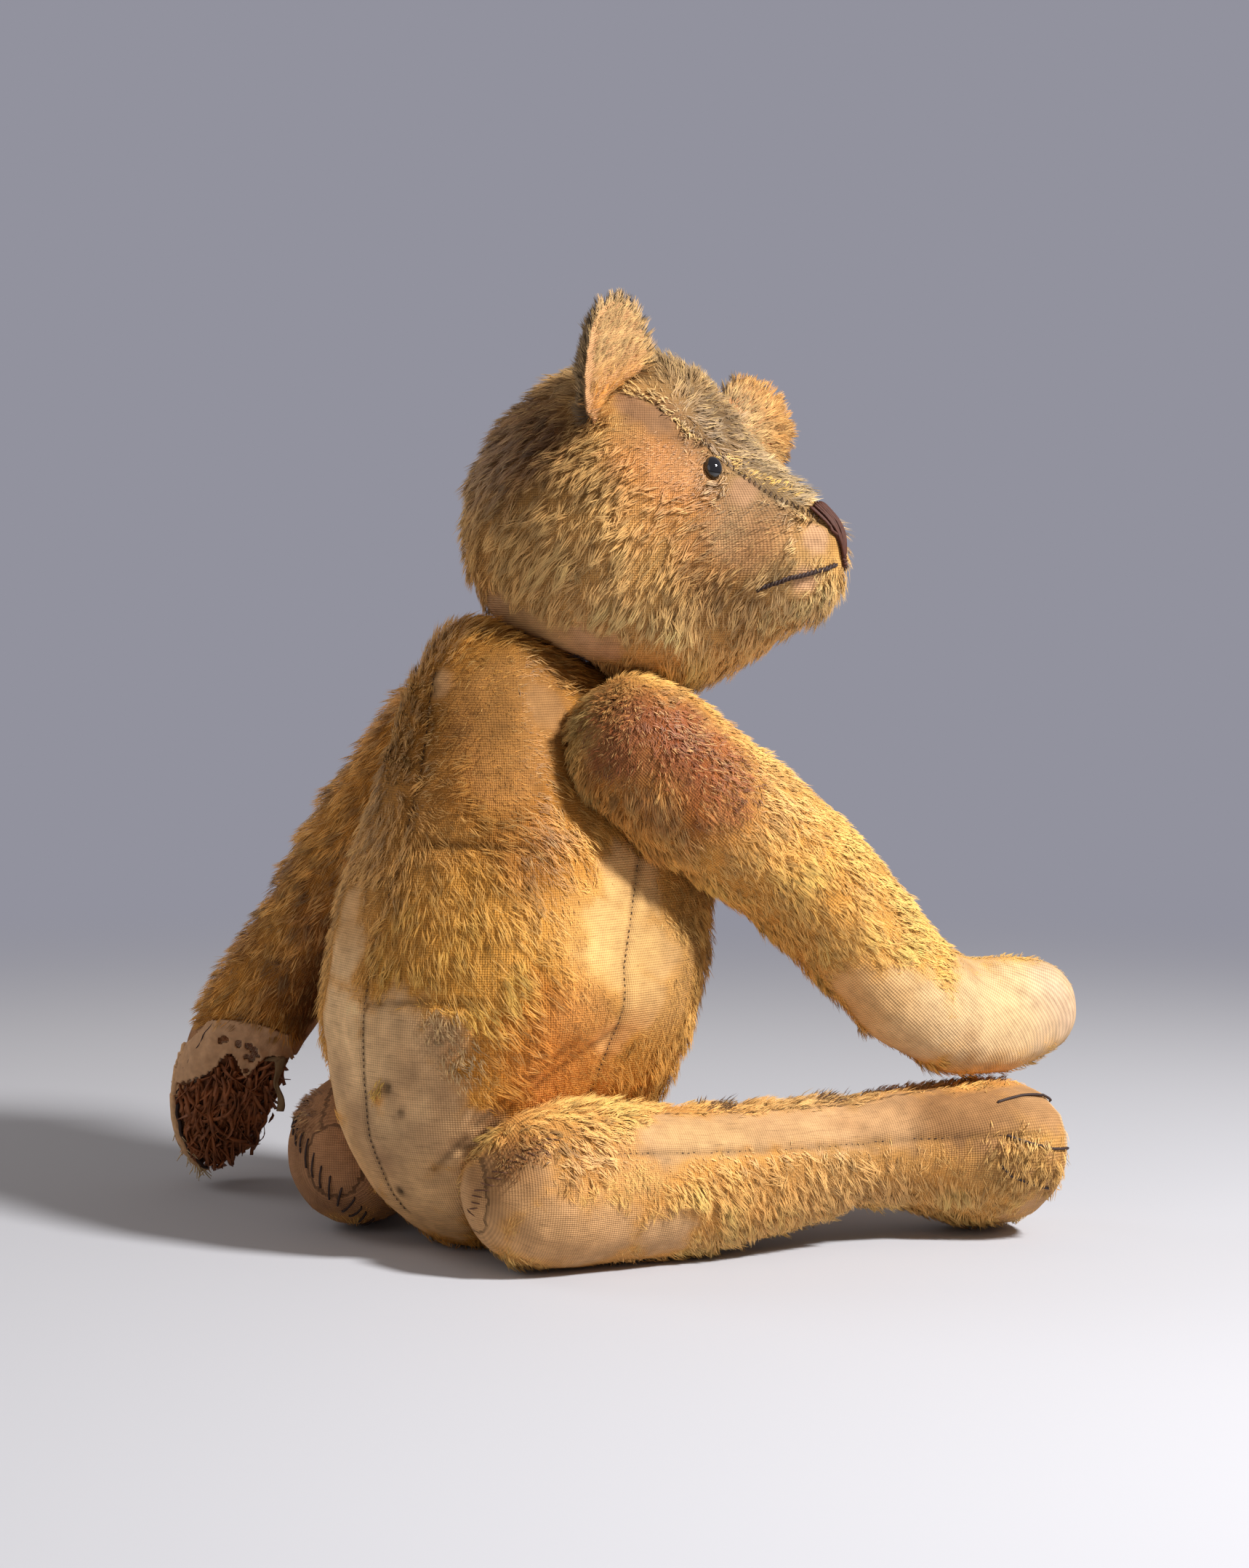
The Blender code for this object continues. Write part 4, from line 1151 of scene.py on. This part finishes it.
def twisted(line, upright, radius, turn=2.6):
    # a two-ply thread: two lines that wind round the given one
    plies = [[], []]
    for step, (place, normal) in enumerate(zip(line, upright)):
        ahead = (line[min(step + 1, len(line) - 1)] - line[max(step - 1, 0)]).normalized()
        side = ahead.cross(normal).normalized()
        for ply, shift in enumerate((0, math.pi)):
            angle = step * 2 * math.pi / (turn * 2) + shift
            plies[ply].append(place + (side * math.cos(angle) + normal * math.sin(angle)) * radius * mm)
    return plies


def runningStitches(bag, guides, spacing=2.6, length=1.3):
    # short stitches that dive in and out along a seam
    lines = []
    for guide in guides:
        line, upright = alongSurface(trees[bag], guide, 0.65)
        every = max(2, round(spacing / 0.65))
        for start in range(0, len(line) - 3, every):
            some = range(start, min(start + max(2, round(length / 0.65)) + 1, len(line)))
            last = len(some) - 1
            lines.append([line[k] - upright[k] * (1.1 - (0.35 if 0 < i < last else 0)) * mm
                          for i, k in enumerate(some)])
    return lines


def crossStitches(bag, guide, spacing, reach, rng, lift=0.7, slant=0.5):
    # whip stitches that cross a seam at a slant
    line, upright = alongSurface(trees[bag], guide, 0.5)
    lines = []
    for start in range(2, len(line) - 2, round(spacing / 0.5)):
        here, normal = line[start], upright[start]
        ahead = (line[start + 2] - line[start - 2]).normalized()
        side = ahead.cross(normal).normalized()
        lean = ahead * (slant + rng.normal(0, 0.2))
        arc = []
        for share, height in ((-1, -1.2), (-0.8, 0.3), (-0.3, 1), (0.3, 1), (0.8, 0.3), (1, -1.2)):
            arc.append(here + (side + lean) * share * reach * mm * rng.uniform(0.8, 1.15)
                       + normal * (height * lift - 0.2) * mm)
        lines.append(arc)
    return lines


rng = np.random.default_rng(21)

# nose: satin stitches that fan down over the tip, then the lip and the mouth in twisted thread
satin = []
for step in range(21):
    share = step / 10 - 1
    top = headPoint(111 - 2 * abs(share), 9.2 * share, 57 - 2 * share * share)
    middle = headPoint(124, 8.2 * share, 47 + 1.5 * abs(share))
    foot = headPoint(120, 2.2 * share, 36 + 6.5 * abs(share) ** 1.5)
    line, _ = lifted("head", [top, middle, foot], 0.7 + 0.7 * (step % 3 == 0) + 0.3 * (step % 2), 1.4)
    satin.append(line)
for share in (-0.6, -0.3, 0.05, 0.35, 0.65):
    top, foot = headPoint(110, 8 * share, 57.5), headPoint(120, 1.2 * share, 35)
    satin.append(lifted("head", [top, headPoint(124, 7 * share - 1, 47), foot], 1.7, 1.4)[0])
threads("noseThreads", satin, 0.58, noseFinish, "head", sides=2, replaces=["nose_stitching"])

plies = []
for sign in (1, -1):
    line, upright = lifted("head", headLine([(f, sign * w, h) for f, w, h in mouthGuide]), 1.0, 0.7)
    plies += twisted(line, upright, 0.55)
threads("mouthThread", plies, 0.6, threadFinish, "head", sides=2, replaces=["mouth_stitching"])
line, upright = lifted("head", headLine([(119, 0, 37), (119, 1, 34), (117, 3, 31)]), 1.1, 0.7)
plies = twisted(line, upright, 0.6)
line, _ = lifted("head", headLine([(116, 5, 28), (114, 5.5, 22)]), 0.5, 0.7)
threads("lipThread", plies + [line], 0.72, noseFinish, "head", sides=2, replaces=["lip_stitch"])

# whip stitches on the muzzle, running stitches on the seams
muzzle = []
for sign in (1, -1):
    seam = headLine([(116, sign * 9, 52), (98, sign * 18, 62), (80, sign * 22, 75), (72, sign * 26, 84)])
    muzzle += crossStitches("head", seam, 2.6, 1.3, rng, 0.5)
threads("muzzleStitches", muzzle, 0.2, threadFinish, "head")
threads("bodySeamStitches", runningStitches("body", [inMetres(g) for g in bodySeams[:3]]), 0.22,
        threadFinish, "body")

neckLine = headLine([(-22, -26, 8), (-12, -33, 7), (2, -37, 2), (17, -35, -5), (24, -37, -4)])
threads("neckStitches", crossStitches("head", neckLine, 2.0, 1.2, rng, 0.8, 1.2), 0.3, threadFinish, "head")

closing = inMetres([(-52, 44, 24), (-59, 41, 35), (-69, 34, 47), (-75, 25, 52), (-76, 14, 58)])
hip = crossStitches("right_leg", closing, 3.6, 3.0, rng, 0.6, 0.9)
threads("rightHipStitches", hip, 0.28, seamFinish, "right_leg")
mend = inMetres([(72, 32, 50), (69, 34, 46), (57, 40, 39), (51, 40, 32), (46, 38, 25), (43, 34, 19),
                                 (41, 29, 14), (44, 21, 8), (50, 10, 4)])
threads("leftThighStitches", crossStitches("left_leg", mend, 6.2, 4.6, rng, 1.0, 0.7), 0.5, threadFinish,
        "left_leg")

claws = [[(183, 42, 34), (187, 45, 28), (197, 45, 24), (207, 44, 21)],
         [(186, 41, 46), (195, 48, 43), (205, 49, 40), (216, 46, 39)],
         [(188, 31, 59), (200, 31, 62), (212, 31, 61), (217, 31, 58)]]
for side in ("right", "left"):
    bag = side + "_leg"
    seam = legLine(side, [(-6, 24, 53)] + sideSeam)
    threads(side + "LegSeamStitches", runningStitches(bag, [seam]), 0.22, threadFinish, bag)
    for number, claw in enumerate(claws, 1):
        line, upright = lifted(bag, legLine(side, claw), 0.5, 0.8)
        line[0] = line[0] - upright[0] * 2 * mm
        line[-1] = line[-1] - upright[-1] * 2 * mm
        threads(f"{side}FootClaw{number}", [line], 0.6, threadFinish, bag, sides=2,
                replaces=[f"{side}_foot_claw_{number}"])

# ears
print("ears")
earOf = {
    "right": dict(out=(0.17, -0.22, 0.96), wide=(-0.15, -0.95, -0.20), locks=5400, naps=4400, long=8.0,
                  seed=31, rise=34,
                  inside=colour(204, 152, 104), fluff=colour(184, 146, 96), base=colour(178, 118, 54),
                  bald=0.35),
    "left": dict(out=(0.067, 0.967, 0.239), wide=(0.375, 0.29, -0.88), locks=5400, naps=4000, long=8.0,
                 seed=32, rise=40,
                 inside=colour(178, 120, 74), fluff=colour(172, 122, 66), base=colour(170, 134, 86),
                 bald=2.0),
}


earForm = dict(weld=0.02, voxel=1.5, long=27, wide=28, lump=0.35)
earTone = dict(back=colour(168, 136, 96), edge=colour(96, 66, 40), worn=colour(126, 98, 64))


def sewEar(side, look):
    node = bpy.data.objects[side + "_ear"]
    ear = newObject(side + "Ear", node.data.copy())
    bm = bmesh.new()
    bm.from_mesh(ear.data)
    bmesh.ops.remove_doubles(bm, verts=bm.verts, dist=earForm["weld"] * mm)
    bm.to_mesh(ear.data)
    bm.free()
    applyModifier(ear, "REMESH", mode="VOXEL", voxel_size=earForm["voxel"] * mm)
    applyModifier(ear, "SMOOTH", factor=0.5, iterations=5)
    ear.data.shade_smooth()
    mesh = ear.data
    places, upright = points(mesh), normals(mesh)
    setPoints(mesh, places + upright * (earForm["lump"] * noiseAt(places, 6, 8) * mm)[:, None])
    middle = places.mean(axis=0)
    earOut, wide = (np.array((headAhead * a + headLeft * b + up * c).normalized()) for a, b,
                    c in (look["out"], look["wide"]))
    wide -= earOut * (wide @ earOut)
    wide /= np.linalg.norm(wide)
    face = np.cross(wide, earOut)
    face *= math.copysign(1, face @ np.array(headAhead))
    inner = smoothStep(upright @ face, 0.1, 0.6)          # the side that looks ahead
    along = (places - middle) @ earOut / (earForm["long"] * mm)
    across = (places - middle) @ wide / (earForm["wide"] * mm)
    rim = smoothStep(np.hypot(along, across), 0.72, 0.95)
    patchy, fine = noiseAt(places, 10, 3, 2), noiseAt(places, 3, 9)
    back = np.array(earTone["back"])
    low = smoothStep(-along, -0.1, 0.6)[:, None]
    fluff = np.array(look["fluff"])[None] * (1 - low) + np.array(look["base"])[None] * low
    hair = back[None] * (1 - inner[:, None]) + fluff * inner[:, None]
    hair = np.clip(hair * (1 + 0.25 * patchy + 0.1 * fine)[:, None], 0, 0.9)
    dark = (rim * (1 - inner) * 0.75)[:, None]
    hair = hair * (1 - dark) + np.array(earTone["edge"]) * dark
    rimTone = (rim * inner * (0.7 if side == "left" else 0.3))[:, None]
    hair = hair * (1 - rimTone) + np.array(earTone["worn"]) * rimTone
    strip = inner * smoothStep(across, look["bald"], look["bald"] + 0.25)
    woven = np.array(look["inside"])[None] * (1 + 0.15 * patchy)[:, None]
    # the back cloth is painted darker than its hair: painted shade under the pile
    setColours(mesh, "tint", np.clip(woven * inner[:, None] + hair * 0.8 * (1 - inner[:, None]), 0, 1))
    layer = mesh.attributes.new("weave", "FLOAT_VECTOR", "POINT")
    flat = np.stack([(places - middle) @ wide, (places - middle) @ earOut, np.zeros(len(places))], axis=1)
    layer.data.foreach_set("vector", flat.ravel())
    coat(mesh, backing)
    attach(ear, "head")
    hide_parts(side + "_ear")
    rng = np.random.default_rng(look["seed"])
    comb = np.tile(earOut, (len(places), 1)) * (0.6 + 0.5 * rim)[:, None] + wide * (across * 0.6)[:, None]
    # painted shade at the roots and painted highlight at the tips of the hair
    shared = dict(pileCommon, comb=comb, rootTint=hair * 0.78, tipTint=np.clip(hair * 1.16, 0, 1))
    layers = {
        "Nap": dict(count=look["naps"], template=spikeTemplate(), width=0.4, perClump=3, pull=0.15, pale=0.2,
                    density=np.clip(1 - 0.2 * inner - strip, 0.02, 1), lift=24 + 10 * fine, shade=0.26,
                    length=np.full(len(places), 3.0)),
        "Locks": dict(count=look["locks"], template=tuftTemplate(1), width=0.36,
                      density=np.clip(1 - 0.45 * inner + 1.2 * rim - 1.4 * strip, 0.02, 2),
                      lift=look["rise"] + 14 * patchy + 16 * rim,
                      length=look["long"] * (0.7 + 0.35 * rim + 0.2 * patchy)),
    }
    for name, own in layers.items():
        grown = growPile(side + "Ear" + name, ear, dict(shared, **own), pileFinish, rng)
        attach(grown, "head")


for side, look in earOf.items():
    sewEar(side, look)

# eyes: black glass buttons, pulled into the cloth by their thread
eyeButton = dict(place=(71, 24, 68), radius=4.6, shape=(0.80, 1.04, 0.62), lift=0.5)
forward, aside, height = eyeButton["place"]
for side, sign in (("left", 1), ("right", -1)):
    spot, normal, _, _ = trees["head"].find_nearest(headPoint(forward, sign * aside, height))
    bm = bmesh.new()
    bmesh.ops.create_uvsphere(bm, u_segments=32, v_segments=20, radius=eyeButton["radius"] * mm)
    bmesh.ops.scale(bm, vec=eyeButton["shape"], verts=bm.verts)
    turned = normal.to_track_quat("Z", "Y").to_matrix()
    bmesh.ops.rotate(bm, cent=(0, 0, 0), matrix=turned, verts=bm.verts)
    bmesh.ops.translate(bm, vec=spot + normal * eyeButton["lift"] * mm, verts=bm.verts)
    button = newObject(side + "EyeButton", meshFrom(bm, side + "EyeButton"), glassFinish)
    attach(button, "head")
    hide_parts(side + "_eye")

# discs, washers and pins of the joints, all inside the bags
boardFinish = plainMaterial("hardboard", colour(112, 80, 52), 0.85, 0.4, 400, 0.5)
steelFinish = plainMaterial("dullSteel", colour(120, 116, 110), 0.42, 0.2, 900, 0.3, Metallic=0.9)
for obj in list(bpy.data.objects):
    ending = obj.name.rsplit("_", 1)[-1]
    if obj.type == "MESH" and ending in ("disc", "washer", "pin"):
        coat(obj.data, boardFinish if ending == "disc" else steelFinish)

# the torn paw
print("torn paw")
ragForm = dict(middle=(-103, 63.5), reach=(27, 17.5), thickness=1.2)
shaving = dict(count=320, width=1.6, thickness=0.34, low=6, high=66, step=2, seed=77)
edgeCloth = dict(roll=1.6, lining=1.0, frays=44, fray=0.28, seed=6)
stripForm = dict(root=(-85, 62), thickness=0.9)


def onPaw(across, height, lift=0.0):
    # the point of the paw that is seen at this place
    middle = armPoint("left", -36, 195, 44)
    start = middle + right * (across * mm - middle.dot(right)) + toViewer * 0.08
    start.z = height * mm
    spot, normal, _, _ = trees["left_arm"].ray_cast(start, -toViewer)
    return (spot + normal * lift * mm, normal) if spot else (None, None)


def feltRag():
    # what is left of the pad, scalloped and moth-eaten
    bm = bmesh.new()
    bmesh.ops.create_grid(bm, x_segments=80, y_segments=52, size=1)
    lost = []
    for vert in bm.verts:
        across, height = (m + c * r for m, c, r in zip(ragForm["middle"], vert.co, ragForm["reach"]))
        topSeam = 79.5 - 0.05 * (across + 100) ** 2 / 4
        hole = any(math.hypot(across - x, height - z) < size for x, z, size in mothHoles)
        edge = height - tornTop(across)
        lift = 0.9 + 0.9 * math.exp(-(edge / 1.6) ** 2) + 0.9 * noise.noise((across / 4, height / 4, 3))
        spot, _ = onPaw(across, height, lift)
        outside = height > topSeam or across < rimAcross(height) + 1.0 + 0.9 * max(height - 60, 0)
        if spot is None or hole or edge < 0 or outside:
            lost.append(vert)
        else:
            vert.co = spot
    bmesh.ops.delete(bm, geom=lost, context="VERTS")
    rag = newObject("leftPawFelt", meshFrom(bm, "leftPawFelt"))
    applyModifier(rag, "SOLIDIFY", thickness=ragForm["thickness"] * mm, offset=0)
    applyModifier(rag, "SMOOTH", factor=0.5, iterations=2)
    rag.data.shade_smooth()
    coat(rag.data, feltFinish)
    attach(rag, "left_arm")


feltRag()


def woodWool():
    # flat curled shavings, lying mostly lengthways and bulging out where the felt has gone
    rng = np.random.default_rng(shaving["seed"])
    lines = []
    while len(lines) < shaving["count"]:
        height = rng.uniform(shaving["low"], shaving["high"])
        across = rng.uniform(rimAcross(height) + 1.5, -78)
        if height > tornTop(across) + 3:
            continue
        angle = rng.normal(-math.pi / 2 - 0.15, 0.45)
        depth = rng.uniform(-4.6, 0.9)
        steps, line = rng.integers(7, 14), []
        bend = rng.normal(0, 0.045)
        for step in range(steps):
            spot, _ = onPaw(across, height, depth + 1.1 * math.sin(step * 0.9 + len(lines)))
            inside = height < tornTop(across) + 2.5 and across > rimAcross(height) + 1
            if spot is None or not inside or height < 4.5:
                break
            line.append(spot)
            angle += bend + rng.normal(0, 0.08)
            across += math.cos(angle) * shaving["step"]
            height += math.sin(angle) * shaving["step"]
        if len(line) > 3:
            lines.append(line)
    threads("pawWoodWool", lines, 1, woolFinish, "left_arm", flat=(shaving["width"], shaving["thickness"]),
            slot="wood_wool")


woodWool()


def rolledEdge():
    # the cloth that has curled back along the outer side of the opening and frayed at the tip
    line = []
    for height in np.arange(66, 5, -1.5):
        edge = rimAcross(height) + 0.8 + 0.9 * max(height - 60, 0)
        found = [onPaw(edge + inward, height, 0.6)[0] for inward in (0, 1, 2, 3, 4, 5)]
        line += [spot for spot in found if spot][:1]
    for across in np.arange(-110.5, -96, 1.5):
        spot, _ = onPaw(across, 5.2 + 0.02 * (across + 111) ** 2, 0.6)
        if spot:
            line.append(spot)
    wavy = [p + Vector((0, 0, 0.4 * math.sin(i * 1.9))) * mm for i, p in enumerate(line)]
    inner = [p + toViewer * 0.6 * mm + right * (1.5 + 0.5 * math.sin(i * 1.1)) * mm for i,
             p in enumerate(line)]
    fold = [p + right * 1.6 * mm for p in wavy[:19]]
    threads("pawRolledEdge", [wavy, fold], edgeCloth["roll"], rollFinish, "left_arm", sides=3, slot="plush")
    threads("pawRolledLining", [inner], edgeCloth["lining"], threadFinish, "left_arm", sides=2, slot="plush")
    rng = np.random.default_rng(edgeCloth["seed"])
    frays = []
    for _ in range(edgeCloth["frays"]):
        start = line[int(rng.integers(len(line) - 16, len(line)))]
        reach = Vector((rng.normal(0, 2), rng.normal(0, 2), -rng.uniform(2, 7))) * mm
        end = start + right * rng.uniform(-1, 4) * mm + reach
        end.z = max(end.z, clearOfFloor["fray"] * mm)
        frays.append([start, start.lerp(end, 0.5) + Vector((0, 0, rng.normal(0, 0.6))) * mm, end])
    crease = [spot for spot in (onPaw(-108.3 - 0.9 * step + 0.4 * math.sin(step), 78.5 - 1.45 * step, 1.3)[0]
                                   for step in range(17)) if spot]
    threads("pawSideSeam", [crease], 0.28, threadFinish, "left_arm", sides=2)
    threads("pawFray", frays, edgeCloth["fray"], frayFinish, "left_arm", slot="plush")


rollFinish = plainMaterial("rolledCloth", colour(214, 168, 122), 0.9, 0.8, 500, 0.7)
frayFinish = plainMaterial("frayedCloth", colour(214, 186, 140), 0.9)
rolledEdge()


def hangingStrip():
    # a strip of felt that hangs from the inner side of the pad
    bm = bmesh.new()
    bmesh.ops.create_grid(bm, x_segments=4, y_segments=22, size=1)
    root = onPaw(*stripForm["root"], 0.5)[0] or armPoint("left", -34, 180, 40)
    for vert in bm.verts:
        run, share = (1 - vert.co.y) / 2, vert.co.x
        across = 3.5 * math.sin(min(run * 3, 1) * math.pi / 2) + 1.2 * math.sin(run * 9)
        fall = 2 - 4 * math.sin(min(run * 2.6, 1) * math.pi) + 22 * run ** 1.3
        wide = (2.0 + 0.9 * math.sin(run * 7 + 1)) * (1.1 - 0.6 * run)
        curl = toViewer * (0.8 * math.sin(share * 1.5 + run * 8))
        vert.co = root + (right * (across + share * wide) - up * fall + curl) * mm
    strip = newObject("pawHangingStrip", meshFrom(bm, "pawHangingStrip"))
    applyModifier(strip, "SOLIDIFY", thickness=stripForm["thickness"] * mm, offset=0)
    strip.data.shade_smooth()
    coat(strip.data, stripFinish)
    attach(strip, "left_arm")


hangingStrip()


# floor, lamps and camera
print("stage")
setting = dict(floor=(0.50, 0.50, 0.53), backdrop=colour(146, 146, 158), fadeFrom=0.35, fadeTo=1.5,
               world=0.31, worldTone=(0.69, 0.62, 0.57), key=46, fill=2.0, rim=4,
               lens=80.705, eye=(-1.10424, 0.89420, 0.28908), aim=(-0.0231, -0.0666, 0.1870))


def stageFloor():
    # pale floor that fades into the plain backdrop colour with distance, for the camera only
    bm = bmesh.new()
    bmesh.ops.create_grid(bm, x_segments=1, y_segments=1, size=6)
    floor = newObject("floor", meshFrom(bm, "floor", False))
    made, shader, here = newMaterial("paleFloor", 0.9)
    shader.inputs["Base Color"].default_value = (*setting["floor"], 1)
    far = here.node("VectorMath", {"operation": "LENGTH"}, {0: here}, 1)
    fade = far.node("MapRange", {"interpolation_type": "SMOOTHERSTEP"},
                    {"Value": far, "From Min": setting["fadeFrom"], "From Max": setting["fadeTo"]})
    seen = here.node("LightPath")
    glow = here.node("Emission", None, {"Color": (*setting["backdrop"], 1)})
    mixed = here.node("MixShader", None, {0: fade * seen, 1: Wire(shader.outputs[0]), 2: glow})
    made.node_tree.links.new(mixed.socket, made.node_tree.nodes["Material Output"].inputs[0])
    floor.data.materials.append(made)


stageFloor()


def softLamp(name, place, aim, size, watts):
    lamp = bpy.data.lights.new(name, "AREA")
    lamp.shape = "DISK"
    lamp.size = size
    lamp.energy = watts
    made = bpy.data.objects.new(name, lamp)
    scene.collection.objects.link(made)
    made.location = place
    made.rotation_euler = (Vector(aim) - Vector(place)).to_track_quat("-Z", "Y").to_euler()


softLamp("key", (-1.20, -0.35, 1.25), (0, 0, 0.12), 0.24, setting["key"])
softLamp("fill", (-0.1, 1.6, 0.8), (0, 0, 0.2), 1.2, setting["fill"])
softLamp("rim", (1.2, 0.6, 1.0), (0, 0, 0.2), 0.8, setting["rim"])

world = bpy.data.worlds.new("studio")
scene.world = world
world.use_nodes = True
light = world.node_tree.nodes["Background"]
light.inputs[0].default_value = (*setting["worldTone"], 1)
light.inputs[1].default_value = setting["world"]
lit = Wire(light.outputs[0])
rays = lit.node("LightPath").socket.node.outputs
seen = Wire(rays["Is Camera Ray"])
for kind in ("Is Transmission Ray", "Is Glossy Ray"):
    seen = lit.node("Math", {"operation": "ADD", "use_clamp": True}, {0: seen, 1: Wire(rays[kind])})
plain = lit.node("Background", None, {0: (*setting["backdrop"], 1)})
either = lit.node("MixShader", None, {0: seen, 1: lit, 2: plain})
world.node_tree.links.new(either.socket, world.node_tree.nodes["World Output"].inputs[0])

camera = bpy.data.cameras.new("camera")
camera.sensor_fit = "VERTICAL"
camera.sensor_height = 36
camera.lens = setting["lens"]
eye = bpy.data.objects.new("camera", camera)
scene.collection.objects.link(eye)
eye.location = setting["eye"]
eye.rotation_euler = (Vector(setting["aim"]) - eye.location).to_track_quat("-Z", "Y").to_euler()
scene.camera = eye
scene.view_settings.view_transform = "Standard"
